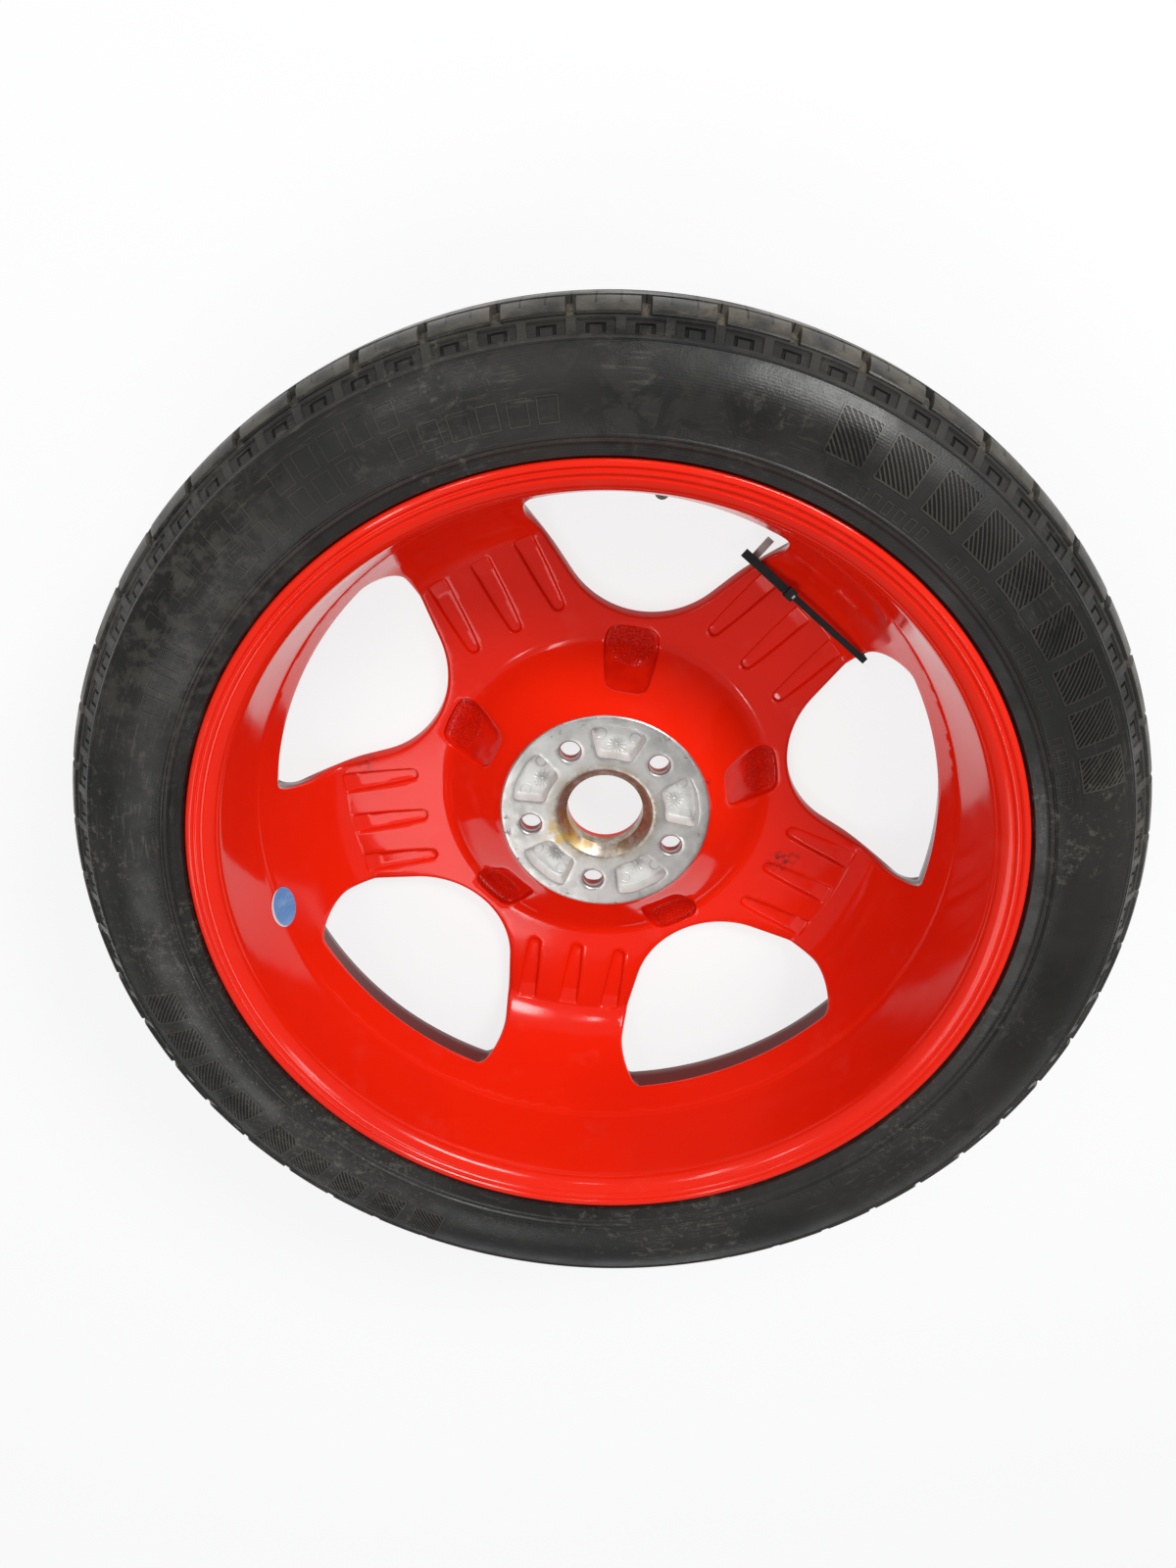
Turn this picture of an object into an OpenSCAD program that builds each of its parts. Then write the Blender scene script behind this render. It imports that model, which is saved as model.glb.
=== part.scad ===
// Narrow temporary spare wheel: five-spoke cast wheel with its tyre and valve.
// Origin at the centre of the hub's mounting face, +Z towards the inboard side.
// It lies outboard side down, on the five faces of its spokes.

/* [Rim] */
// Diameter of the bead seats
seat_d = 512.8; // [506:0.1:520]
// Width between the bead faces
rim_w = 114.3; // [110:0.1:120]
// Height of the flanges above the bead seats
flange_h = 14.6; // [13:0.1:17]
// Width of each flange outside its bead face
flange_w = 11; // [10:0.1:12]
// Length of each bead seat
seat_len = 19; // [17.5:0.5:21]
// Depth of the well below the bead seats, tyre side
well_depth = 13.2; // [11.9:0.1:14.4]
// Thickness of the barrel wall
barrel_t = 5.6; // [4.6:0.1:6.4]

/* [Disc] */
// Distance from the rim's middle to the hub face
inset = 46.85; // [43:0.05:51]
// Thickness of the hub at the bore
hub_t = 25; // [22:0.5:28]
// Diameter of the machined hub pad
pad_d = 156; // [152:1:162]
// Depth of the spoke backs below the hub face
spoke_drop = 42; // [38:0.5:46]
// Thickness of the spokes
spoke_t = 14; // [12:0.5:17]
// Width of the rise from the spoke backs to the barrel
rise_w = 33.6; // [30:0.1:38]

/* [Hub holes] */
// Diameter of the centre bore
bore_d = 57.1; // [56:0.1:60]
// Depth of the bevel round the bore, inboard
bore_bevel = 7.3; // [5:0.1:8]
// Bolt circle diameter
pcd = 112; // [108:1:114]
// Diameter of the bolt holes
bolt_d = 15.2; // [13:0.1:16]
// Radius of the ball seats of the bolts
ball_r = 14; // [12:0.5:15]
// Depth of the straight part of each bolt hole
bolt_land = 12; // [10:0.5:14]
// Depth of the pockets between the bolt holes
pocket_depth = 10; // [6:0.5:12]
// Diameter of the dimple in each pocket floor
dimple_d = 14; // [8:0.5:15]

/* [Windows] */
// Radius of each window's inner end, from the wheel's axis
win_in = 141.5; // [138:0.5:146]
// Radius of the rounded inner end itself
nose_r = 70; // [62:1:76]
// Angle of the window's sides from its own axis
side_a = 42; // [40:0.5:44]
// Radius of the window's outer corners
corner_r = 14; // [11:0.5:18]
// Draft of the window walls in degrees
draft_a = 3; // [1:0.5:4]

/* [Spoke backs] */
// Distance between the flutes
flute_gap = 35.5; // [32:0.5:37]
// Radius of the flutes at their outer end
flute_r = 9.5; // [7:0.5:11]
// Depth of the flutes at their outer end
flute_depth = 4.5; // [2:0.5:6]
// Length of the flutes
flute_len = 59; // [45:1:65]
// Width of the shallow plate pockets
plate_w = 42; // [30:1:46]
// Depth of the shallow plate pockets
plate_depth = 2.5; // [1:0.1:4]

/* [Tyre] */
// Width of the tyre at its widest
section_w = 155; // [150:1:162]
// Height of the tyre's section above the bead seats
tyre_h = 98.35; // [94:0.05:103]
// Thickness under the tread
tread_t = 12; // [10:0.5:15]
// Thickness of the sidewalls
side_t = 8.5; // [7:0.5:10]
// Width of the bead
bead_w = 17; // [15:0.5:17.5]
// Depth of the tread grooves
groove_depth = 4.5; // [3:0.5:6]
// Width of the tread grooves
groove_w = 6; // [4:0.5:8]
// Number of shoulder notches round the tyre
notches = 54; // [36:1:64]
// Width of the shoulder notches
notch_w = 5; // [3:0.5:8]

/* [Valve] */
// Diameter of the valve hole
valve_hole = 11.5; // [11:0.1:12.5]
// Tilt of the valve from the wheel's axis
valve_tilt = 30; // [27:1:33]
// Thickness of metal that the valve grips
valve_web = 3; // [2:0.1:4]
// Length of the valve outside the metal
valve_len = 22; // [20:0.5:26]
// Diameter of the valve's nose
nose_d = 7.7; // [7.4:0.1:8]
// Diameter of the core pin
pin_d = 1.2; // [1:0.1:1.4]
// Travel of the core pin
pin_travel = 1.2; // [0.8:0.1:1.5]

/* [Tie and labels] */
// Width of the tie's strap
tie_w = 4.8; // [3.6:0.1:7]
// Thickness of the tie's strap
tie_t = 1.3; // [1:0.1:1.6]
// Diameter of the sticker
sticker_d = 29; // [18:1:32]

/* [Hidden] */
$fn = 96;

n_spokes = 5;
// Angle of the first spoke, and half the angle from a spoke to a window
first_a = 45.3;
half_a = 180 / n_spokes;
fit = 0.3;

seat_r = seat_d / 2;
well_r = seat_r - well_depth;
edge_r = seat_r + flange_h;
bore_r = bore_d / 2;
pad_r = pad_d / 2;
total_w = rim_w + 2 * flange_w;
top_z = inset + total_w / 2;
bot_z = inset - total_w / 2;
face_in = inset + rim_w / 2;
face_out = inset - rim_w / 2;
back_z = -spoke_drop;
front_z = -spoke_drop - spoke_t;

// Points of the barrel, tyre side, from the inboard seat to the outboard one
step_r = seat_r - 4.5;
step_z = top_z - 57;
ledge_r = step_r - 2.3;
ledge_z = top_z - 70;
well_in_z = top_z - 90;
well_out_z = bot_z + 41.3;
seat_out_z = face_out + seat_len;
// Where the disc leaves the barrel on the back
root_r = well_r - barrel_t;
root_z = well_out_z - 1;
rise_r = root_r - rise_w;
// Radius of the lip of the barrel behind the outboard flange
lip_r = seat_r - barrel_t;

// Quadratic curve of n steps, without its first point
function bend(a, b, c, n) =
    [for (i = [1:n]) let (t = i / n) (1 - t) * (1 - t) * a + 2 * t * (1 - t) * b + t * t * c];

// Cone of the disc from the pad to the spoke backs
cone_slope = (116 - 78) / (36 - 2);
cone_r0 = pad_r + 0.5;
function cone_r(z) = cone_r0 + (-z - 1.5) * cone_slope;
heel_r = cone_r(back_z);

// Rise of the spoke backs to the barrel, and the ramp of their faces
rise_curve = bend([rise_r, back_z], [root_r - 11.2, back_z + 0.28 * (root_z - back_z)],
                  [root_r, root_z], 8);
ramp_curve = concat([[root_r - 6, front_z + 20.5]],
    bend([root_r - 6, front_z + 20.5], [rise_r - 1, front_z], [rise_r - 14, front_z], 5));
// Section of the whole casting
back_side = concat(
    [[bore_r, 0], [pad_r - 1.2, 0], [cone_r0, -1.5], [cone_r(back_z + 6.5), back_z + 6.5]],
    bend([cone_r(back_z + 6.5), back_z + 6.5], [heel_r, back_z], [heel_r + 7.5, back_z], 4),
    [[rise_r, back_z]], rise_curve);
barrel_side = concat(
    [[ledge_r - barrel_t, ledge_z], [step_r - barrel_t, step_z], [seat_r - barrel_t, top_z - 20]],
    bend([seat_r - barrel_t, top_z - 20], [seat_r - barrel_t + 0.4, top_z - 10],
         [edge_r - 12, top_z - 4], 4),
    [[edge_r - 7, top_z - 0.6], [edge_r - 6, top_z - 0.9], [edge_r - 5, top_z]]);
tyre_side = concat(
    bend([edge_r - 5, top_z], [edge_r, top_z], [edge_r, top_z - 2.5], 3),
    [[edge_r, face_in + 7]],
    bend([edge_r, face_in + 7], [edge_r, face_in], [seat_r + 5, face_in], 5),
    [[seat_r, face_in], [seat_r, face_in - seat_len], [step_r, step_z], [ledge_r, ledge_z],
     [well_r, well_in_z], [well_r, well_out_z], [seat_r, seat_out_z], [seat_r, face_out],
     [seat_r + 5, face_out]],
    bend([seat_r + 5, face_out], [edge_r, face_out], [edge_r, face_out - 7], 5),
    bend([edge_r, face_out - 7], [edge_r, bot_z], [edge_r - 5, bot_z], 3));
front_side = concat(
    [[seat_r + 2, bot_z + 0.5], [lip_r, bot_z + 5]], ramp_curve,
    [[heel_r - 4, front_z]],
    bend([heel_r - 4, front_z], [heel_r - 12, front_z], [heel_r - 18, front_z + 7], 4),
    [[pad_r - 2, -hub_t - 2]],
    bend([pad_r - 2, -hub_t - 2], [pad_r - 4.5, -hub_t], [pad_r - 7, -hub_t], 3),
    [[bore_r + 1.5, -hub_t], [bore_r, -hub_t + 1.5]]);

// Window: corner circles sit between the straight sides and the rim wall
corner_line = nose_r - (win_in + nose_r) * sin(side_a);
corner_d = root_r - corner_r;
corner_off = corner_line - corner_r;
corner_s = sqrt(corner_d * corner_d - corner_off * corner_off);
corner_x = corner_off * cos(side_a) + corner_s * sin(side_a);
corner_y = -corner_off * sin(side_a) + corner_s * cos(side_a);
win_top = root_z + 12;
win_bot = front_z - 4;

module post(x, y, r) {
    translate([x, y, win_bot])
        cylinder(h = win_top - win_bot,
                 r1 = r - (back_z - win_bot) * tan(draft_a),
                 r2 = r + (win_top - back_z) * tan(draft_a));
}

// One window, drafted, open to both sides and bounded outside by the rim wall
module window() {
    intersection() {
        rotate([0, 0, -90])
            hull() {
                post(0, win_in + nose_r, nose_r, $fn = 72);
                post(corner_x, corner_y, corner_r, $fn = 36);
                post(-corner_x, corner_y, corner_r, $fn = 36);
            }
        rotate_extrude($fn = 180)
            polygon([[0, win_top + 3], [root_r - 2.4, win_top + 3], [root_r + 6, root_z - 24],
                     [lip_r + 8.8, bot_z - 4.7], [lip_r + 8.8, win_bot - 1], [0, win_bot - 1]]);
    }
}

// Bolt hole with its ball seat on the outboard side
module bolt_hole() {
    translate([0, 0, -hub_t - 20])
        cylinder(h = hub_t + 30, d = bolt_d);
    seat_c = -bolt_land - sqrt(ball_r * ball_r - bolt_d * bolt_d / 4);
    translate([0, 0, seat_c])
        sphere(r = ball_r);
    translate([0, 0, -hub_t - 20])
        cylinder(h = 20 + hub_t + seat_c, r = ball_r);
}

// Corner points of a rounded outline, the corners as [x, y, radius]
function round_corner(a, b, c, n) = let (
        u = [a[0] - b[0], a[1] - b[1]] / norm([a[0] - b[0], a[1] - b[1]]),
        v = [c[0] - b[0], c[1] - b[1]] / norm([c[0] - b[0], c[1] - b[1]]),
        p = [b[0], b[1]])
    concat([p + b[2] * u], bend(p + b[2] * u, p, p + b[2] * v, n));
function rounded(q, n) = [for (i = [0:len(q) - 1])
    each round_corner(q[(i + len(q) - 1) % len(q)], q[i], q[(i + 1) % len(q)], n)];

// Pocket between two bolt holes, with sloping walls
module hub_pocket() {
    mid_r = 57;
    translate([mid_r, 0, -pocket_depth])
        linear_extrude(height = pocket_depth + 1, scale = 1.12)
            polygon(rounded([[43.5 - mid_r, -12.5, 4], [66 - mid_r, -20.5, 5],
                             [69.5 - mid_r, 0, 2], [66 - mid_r, 20.5, 5],
                             [43.5 - mid_r, 12.5, 4], [44.5 - mid_r, 0, 2]], 3));
    translate([52.5, 0, -pocket_depth - 2.5])
        cylinder(h = 2.51, d1 = dimple_d * 0.25, d2 = dimple_d);
}

// Three flutes along a spoke back, deepest at the rim end
module flutes() {
    in_r = flute_r * 0.84;
    in_z = in_r - 0.6;
    out_z = flute_r - flute_depth;
    for (y = [-flute_gap, 0, flute_gap])
        translate([rise_r - 3 - flute_len, y, back_z + in_z])
            rotate([0, 90 - atan((out_z - in_z) / flute_len), 0])
                cylinder(h = flute_len, r1 = in_r, r2 = flute_r, $fn = 48);
}

// Shallow bare pocket on the cone between two spokes
module plate_pocket() {
    intersection() {
        rotate_extrude($fn = 180)
            polygon([[pad_r + 6, 3 - cone_drop(pad_r + 6)], [heel_r + 9, back_z + 8],
                     [heel_r + 9, back_z - plate_depth], [heel_r - plate_depth, back_z - plate_depth],
                     [pad_r + 14, -cone_drop(pad_r + 14) - plate_depth]]);
        translate([0, 0, back_z - 10])
            linear_extrude(height = 60)
                polygon(rounded([[pad_r, -plate_w * 0.33, 2], [heel_r + 2, -plate_w / 2, 3],
                                 [heel_r + 9, -plate_w * 0.3, 6], [heel_r + 9, plate_w * 0.3, 6],
                                 [heel_r + 2, plate_w / 2, 3], [pad_r, plate_w * 0.33, 2]], 3));
    }
}
function cone_drop(r) = 1.5 + (r - cone_r0) / cone_slope;

// Frame of the valve: its own axis out of the well's outboard wall
module at_valve() {
    rotate([0, 0, first_a + half_a])
        translate([valve_seat_r, 0, valve_seat_z])
            rotate([0, 180 + valve_tilt, 0])
                children();
}
// The valve seats just under the slope between the well floor and the seat
valve_seat_r = (well_r + seat_r) / 2 - 1.3;
valve_seat_z = (well_out_z + seat_out_z) / 2 - 1.3;
spot_r = valve_hole / 2 + 2.75;

module wheel() {
    color("#d8281c")
    difference() {
        rotate_extrude($fn = 180)
            polygon(concat(back_side, barrel_side, tyre_side, front_side));
        for (i = [0:n_spokes - 1])
            rotate([0, 0, first_a + half_a + i * 2 * half_a])
                window();
        translate([0, 0, -bore_bevel])
            cylinder(h = bore_bevel + 0.01, r1 = bore_r, r2 = bore_r + bore_bevel + 0.01);
        for (i = [0:n_spokes - 1])
            rotate([0, 0, first_a + i * 2 * half_a]) {
                translate([pcd / 2, 0, 0])
                    bolt_hole();
                flutes();
            }
        for (i = [0:n_spokes - 1])
            rotate([0, 0, first_a + half_a + i * 2 * half_a]) {
                hub_pocket();
                plate_pocket();
            }
        at_valve() {
            translate([0, 0, -4])
                cylinder(h = 40, d = valve_hole, $fn = 48);
            translate([0, 0, -14])
                cylinder(h = 14, r = spot_r, $fn = 48);
            translate([0, 0, valve_web])
                cylinder(h = 24, r = spot_r, $fn = 48);
        }
    }
}

// Tyre section, from the middle plane's distance: outer skin of one half
half_w = section_w / 2;
crown_r = seat_r + tyre_h;
half_rim = rim_w / 2;
lip_gap = 0.5;
// Place of the outer grooves as a share of the half width, and slope of the notches
groove_y = 0.52;
notch_a = 24;
function skin(s) = [for (p = concat(
    [[seat_r, half_rim - bead_w], [seat_r, half_rim], [seat_r + 5 + lip_gap, half_rim]],
    bend([seat_r + 5 + lip_gap, half_rim], [edge_r + lip_gap, half_rim],
         [edge_r + lip_gap, half_rim + 7], 5),
    [[edge_r + lip_gap, half_rim + 9.5], [edge_r + 4, half_w - 7.4], [edge_r + 8.4, half_w - 4.4],
     [edge_r + 19, half_w - 1.3], [edge_r + 34, half_w], [edge_r + 49, half_w - 2.9],
     [edge_r + 61, half_w - 8.9], [crown_r - 12.2, half_w - 19], [crown_r - 10, half_w - 19.4]],
    bend([crown_r - 10, half_w - 19.4], [crown_r - 1, half_w - 28], [crown_r, 0], 8)))
    [p[0], inset + s * p[1]]];
function lining(s) = [for (p = concat(
    [[crown_r - tread_t, 0], [crown_r - tread_t - 1.5, half_w - 36]],
    bend([crown_r - tread_t - 1.5, half_w - 36], [crown_r - tread_t - 4, half_w - 19 - side_t],
         [edge_r + 57, half_w - 9 - side_t], 3),
    [[edge_r + 34, half_w - side_t], [edge_r + 12, half_w - 4 - side_t],
     [edge_r - 2, half_rim - 5], [seat_r + 4, half_rim - bead_w - 1]]))
    [p[0], inset + s * p[1]]];

module tyre() {
    color("#34322f")
    difference() {
        rotate_extrude($fn = 180)
            polygon(concat(skin(1), [for (i = [len(skin(-1)) - 2:-1:0]) skin(-1)[i]],
                           [for (i = [len(lining(-1)) - 1:-1:0]) lining(-1)[i]],
                           [for (i = [1:len(lining(1)) - 1]) lining(1)[i]]));
        for (y = [-groove_y, -0.18, 0.18, groove_y])
            translate([0, 0, inset + y * half_w - groove_w / 2])
                rotate_extrude($fn = 180)
                    translate([crown_r - groove_depth, 0])
                        square([groove_depth + 5, groove_w]);
        for (side = [0, 1])
            translate([0, 0, inset])
                mirror([0, 0, side])
                    for (k = [0:notches - 1])
                        rotate([0, 0, k * 360 / notches])
                            notch();
    }
}
// One notch from the outer groove over the shoulder's edge
module notch() {
    translate([crown_r - groove_depth + 0.4, -notch_w / 2, groove_y * half_w + 1])
        rotate([0, -notch_a, 0])
            cube([14, notch_w, 30]);
}

// Valve pieces, along the valve's axis, from the tyre side outwards
stem_top = valve_web + valve_len;
nose_r2 = nose_d / 2;
throat_r = nose_r2 - 1.2;
bore_in = 1.5;
plug_z = stem_top - 6;
seal_z = plug_z - 2.2;
tube_z = seal_z - 7.8 - pin_travel;
cup_t = 1.2;

module valve_rubber() {
    color("#1e1d1c")
    at_valve()
        difference() {
            rotate_extrude($fn = 64)
                polygon([[0, -6], [6.2, -6], [spot_r - 0.9, -4.6], [spot_r - 0.9, -1.6],
                         [spot_r - 1.1, 0], [valve_hole / 2, 0], [valve_hole / 2, valve_web],
                         [spot_r - 1.2, valve_web], [spot_r - 1.2, valve_web + 2],
                         [5.9, valve_web + 6], [4.8, stem_top - 12], [0, stem_top - 12]]);
            stem_body();
        }
}
// Outside of the stem, moulded into the rubber as far as its nose
module stem_body() {
    rotate_extrude($fn = 64)
        polygon([[0, -7], [3.9, -7], [3.9, -4], [2.9, -3], [2.9, stem_top - 18],
                 [nose_r2 - 0.4, stem_top - 15], [nose_r2, stem_top - 12],
                 [nose_r2, stem_top - 0.6], [nose_r2 - 0.6, stem_top], [0, stem_top]]);
}
module valve_stem() {
    color("#b9984f")
    at_valve()
        difference() {
            stem_body();
            rotate_extrude($fn = 64)
                polygon([[0, -8], [bore_in, -8], [bore_in, tube_z - 8], [bore_in + 0.6, tube_z - 7],
                         [bore_in + 0.6, seal_z - 0.6], [throat_r, seal_z + 0.2],
                         [throat_r, stem_top + 1], [0, stem_top + 1]]);
        }
}
module core_plug() {
    color("#c2a45c")
    at_valve()
        difference() {
            translate([0, 0, plug_z])
                cylinder(h = 5.2, r = throat_r, $fn = 48);
            translate([0, 0, plug_z - 1])
                cylinder(h = 8, d = pin_d + 0.16, $fn = 48);
            for (s = [-1, 1])
                translate([s * 2.3 - 0.7, -4, plug_z + 2.4])
                    cube([1.4, 8, 4]);
        }
}
module core_seal() {
    color("#a8432f")
    at_valve()
        difference() {
            translate([0, 0, seal_z + 0.2])
                cylinder(h = plug_z - seal_z - 0.2, r = throat_r, $fn = 48);
            translate([0, 0, seal_z - 1])
                cylinder(h = 6, r = 1.5, $fn = 48);
        }
}
module core_tube() {
    color("#c8ab66")
    at_valve()
        difference() {
            translate([0, 0, tube_z])
                cylinder(h = plug_z - tube_z, r = 1.5, $fn = 48);
            translate([0, 0, tube_z + 1])
                cylinder(h = plug_z - tube_z, r = 1.15, $fn = 48);
            translate([0, 0, tube_z - 1])
                cylinder(h = 4, d = pin_d + 0.16, $fn = 48);
        }
}
module core_pin() {
    color("#d0cfc8")
    at_valve()
        translate([0, 0, tube_z - cup_t - 0.8])
            cylinder(h = stem_top - 0.5 - tube_z + cup_t + 0.8, d = pin_d, $fn = 48);
}
module core_cup() {
    color("#c2a45c")
    at_valve()
        difference() {
            translate([0, 0, tube_z - cup_t])
                cylinder(h = cup_t - 0.5, r = 1.45, $fn = 48);
            translate([0, 0, tube_z - cup_t - 1])
                cylinder(h = 4, d = pin_d, $fn = 48);
        }
}
module core_cup_seal() {
    color("#8a2f22")
    at_valve()
        difference() {
            translate([0, 0, tube_z - 0.5])
                cylinder(h = 0.5, r = 1.4, $fn = 48);
            translate([0, 0, tube_z - 2])
                cylinder(h = 4, d = pin_d, $fn = 48);
        }
}
module core_spring() {
    color("#9a9a96")
    at_valve()
        difference() {
            translate([0, 0, tube_z + 1])
                cylinder(h = plug_z - tube_z - 1, r = 1.05, $fn = 48);
            translate([0, 0, tube_z])
                cylinder(h = plug_z, d = pin_d + 0.3, $fn = 48);
        }
}
module valve_cap() {
    color("#1a1a1a")
    at_valve()
        difference() {
            rotate_extrude($fn = 64)
                polygon([[nose_r2 + 0.15, stem_top - 8.4], [nose_r2 + 1.1, stem_top - 8.4],
                         [nose_r2 + 1.1, stem_top + 1.8], [nose_r2, stem_top + 3], [0, stem_top + 3],
                         [0, stem_top + 1.5], [nose_r2 + 0.15, stem_top + 1.5]]);
            for (k = [0:15])
                rotate([0, 0, k * 22.5])
                    translate([nose_r2 + 1.35, 0, stem_top - 7.6])
                        cylinder(h = 9, r = 0.45, $fn = 16);
        }
}
module cap_seal() {
    color("#2b2b2b")
    at_valve()
        translate([0, 0, stem_top + 0.3])
            cylinder(h = 1.2, r = nose_r2 - 0.1, $fn = 48);
}

// The tie runs round one spoke near the rim, a little askew
tie_x = rise_r + 1.8;
tie_skew = 4.7;
head_y = 21;
tag_l = 21;
lean = side_a - half_a;
// Half width of a spoke at the distance x out along it, at its outboard face
function flank(x) = (-corner_line - x * sin(lean)) / cos(lean) + spoke_t * tan(draft_a);
// Height of the spoke's back and face at a radius
function back_at(r) = lookup(r, concat([[0, back_z], [rise_r, back_z]], rise_curve));
function face_at(r) = lookup(r, concat([[0, front_z], [rise_r - 14, front_z]], ramp_curve));
// Radius of a point of the strap, x along the spoke and y across it
function strap_r(x, y) = norm([tie_x + x * cos(tie_skew) - y * sin(tie_skew),
                               x * sin(tie_skew) + y * cos(tie_skew)]);
run_l = flank(tie_x - tie_w / 2 - 55 * sin(tie_skew)) / cos(tie_skew) + fit;
run_r = flank(tie_x - tie_w / 2 + 50 * sin(tie_skew)) + fit;
top_l = back_at(strap_r(tie_w / 2, run_l)) + fit;
top_r = back_at(strap_r(tie_w / 2, -run_r)) + fit;
top_slope = (top_r - top_l) / (run_l + run_r);
function tie_top(y) = top_l + (run_l - y) * top_slope;
// Closed run of the strap, t outside its inner face
function loop(t) = concat([[run_l + t, top_l + t], [-run_r - t, top_r + t]],
    [for (k = [0:8]) let (y = -run_r + (run_l + run_r) * k / 8)
        [y + (k == 0 ? -t : k == 8 ? t : 0), face_at(strap_r(-tie_w / 2, y)) - fit - t]]);

module at_tie() {
    rotate([0, 0, first_a])
        translate([tie_x, 0, 0])
            rotate([0, 0, tie_skew])
                children();
}
module tie_strap() {
    color("#1b1b1d")
    at_tie()
        difference() {
            union() {
                rotate([90, 0, 90])
                    translate([0, 0, -tie_w / 2])
                        linear_extrude(height = tie_w)
                            difference() {
                                polygon(loop(tie_t));
                                polygon(loop(0));
                            }
                translate([-tie_w * 0.85, head_y - 3.5, tie_top(head_y) + tie_t / 2])
                    cube([tie_w * 1.7, 7, 4.6]);
                // Free end, back over the strap and past the spoke's edge
                translate([-tie_w * 0.66, head_y, tie_top(head_y) + tie_t + 0.6])
                    rotate([atan(-top_slope), 0, 0])
                        cube([tie_w * 1.32, run_l - head_y + 13, tie_t]);
            }
            translate([-1.3, head_y - 4, tie_top(head_y) + tie_t / 2 + 3.2])
                cube([2.6, 2.2, 2]);
        }
}
module tie_pawl() {
    color("#d9d9d4")
    at_tie()
        translate([-1.3, head_y - 3.5, tie_top(head_y) + tie_t / 2 + 3.2])
            cube([2.6, 1.7, 0.9]);
}
module tie_tag() {
    color("#b9b2ac")
    at_tie()
        translate([-tie_w / 2, run_l + tie_t, top_l - 2.5])
            cube([tag_l, 5.5, 0.8]);
}

// Round label on the inside of the barrel, across its ledge
sticker_t = 0.3;
sticker_in = barrel_t + 0.05;
module sticker() {
    color("#2747a8")
    intersection() {
        rotate_extrude($fn = 180)
            polygon([[well_r - sticker_in, root_z], [ledge_r - sticker_in, ledge_z],
                     [step_r - sticker_in, step_z], [step_r - sticker_in - sticker_t, step_z],
                     [ledge_r - sticker_in - sticker_t, ledge_z],
                     [well_r - sticker_in - sticker_t, root_z]]);
        rotate([0, 0, 194.2])
            translate([root_r - 20, 0, ledge_z - 2.8])
                rotate([0, 90, 0])
                    cylinder(h = 60, d = sticker_d);
    }
}

wheel();
tyre();
valve_rubber();
valve_stem();
core_plug();
core_seal();
core_tube();
core_pin();
core_cup();
core_cup_seal();
core_spring();
valve_cap();
cap_seal();
tie_strap();
tie_pawl();
tie_tag();
sticker();
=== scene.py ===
import bpy
import bmesh
import math
import numpy as np
from mathutils import Matrix, Vector
from mathutils.geometry import delaunay_2d_cdt
from mathutils.kdtree import KDTree


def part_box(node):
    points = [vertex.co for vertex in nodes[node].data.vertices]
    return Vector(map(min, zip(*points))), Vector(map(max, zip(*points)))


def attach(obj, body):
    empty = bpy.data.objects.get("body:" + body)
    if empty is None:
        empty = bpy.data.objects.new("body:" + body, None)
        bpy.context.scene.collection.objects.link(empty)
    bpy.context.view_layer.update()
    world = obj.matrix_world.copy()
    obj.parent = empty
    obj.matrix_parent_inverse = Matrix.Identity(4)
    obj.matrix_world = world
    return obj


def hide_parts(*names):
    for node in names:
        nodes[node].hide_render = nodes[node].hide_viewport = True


# A narrow spare wheel, inboard side up. Lengths are in millimetres until a mesh is made.
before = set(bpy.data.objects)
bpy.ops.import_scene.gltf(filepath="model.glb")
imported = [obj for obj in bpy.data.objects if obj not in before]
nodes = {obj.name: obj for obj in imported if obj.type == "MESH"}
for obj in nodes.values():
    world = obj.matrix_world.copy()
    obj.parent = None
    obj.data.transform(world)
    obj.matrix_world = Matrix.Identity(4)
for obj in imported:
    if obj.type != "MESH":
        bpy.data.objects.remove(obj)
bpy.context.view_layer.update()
scene = bpy.context.scene
MM = 0.001
# degrees from +X of each spoke, and of each window between two spokes
SPOKES = [45.3 + 72 * i for i in range(5)]
GAPS = [81.3 + 72 * i for i in range(5)]
# the photograph's size and the fitted camera, in its pixels
PHOTO_W, PHOTO_H = 1200.0, 1600.0
FOCAL, CENTRE_X, CENTRE_Y = 1109.0, 590.464, 800.767
# hub, in mm: bore, rim of the machined face, bolt circle and its holes and ball seats
BORE_R, FACE_R, BOLT_C, BOLT_R, SEAT_R = 28.55, 78.02, 56, 7.6, 14
# the middle of a hub pocket's dimple, and of a plate pocket's foundry grain
DIMPLE_C, GRAIN_C = 52.5, 121.5
# window outline, its own axis along +y: nose centre and radius, side angle, corner radius
NOSE_C, NOSE_R, SIDE, CORNER = 211.5, 70.0, 42.0, 14.0
# the valve's tilt, the rim's web at its hole, and the place of its seat
VALVE_TILT, VALVE_WEB = 30, 3
VALVE_R, VALVE_Z = 248.5, 13.05
# tyre: height of its middle plane, radius of the crown
MID, CROWN = 46.85, 354.75


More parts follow.
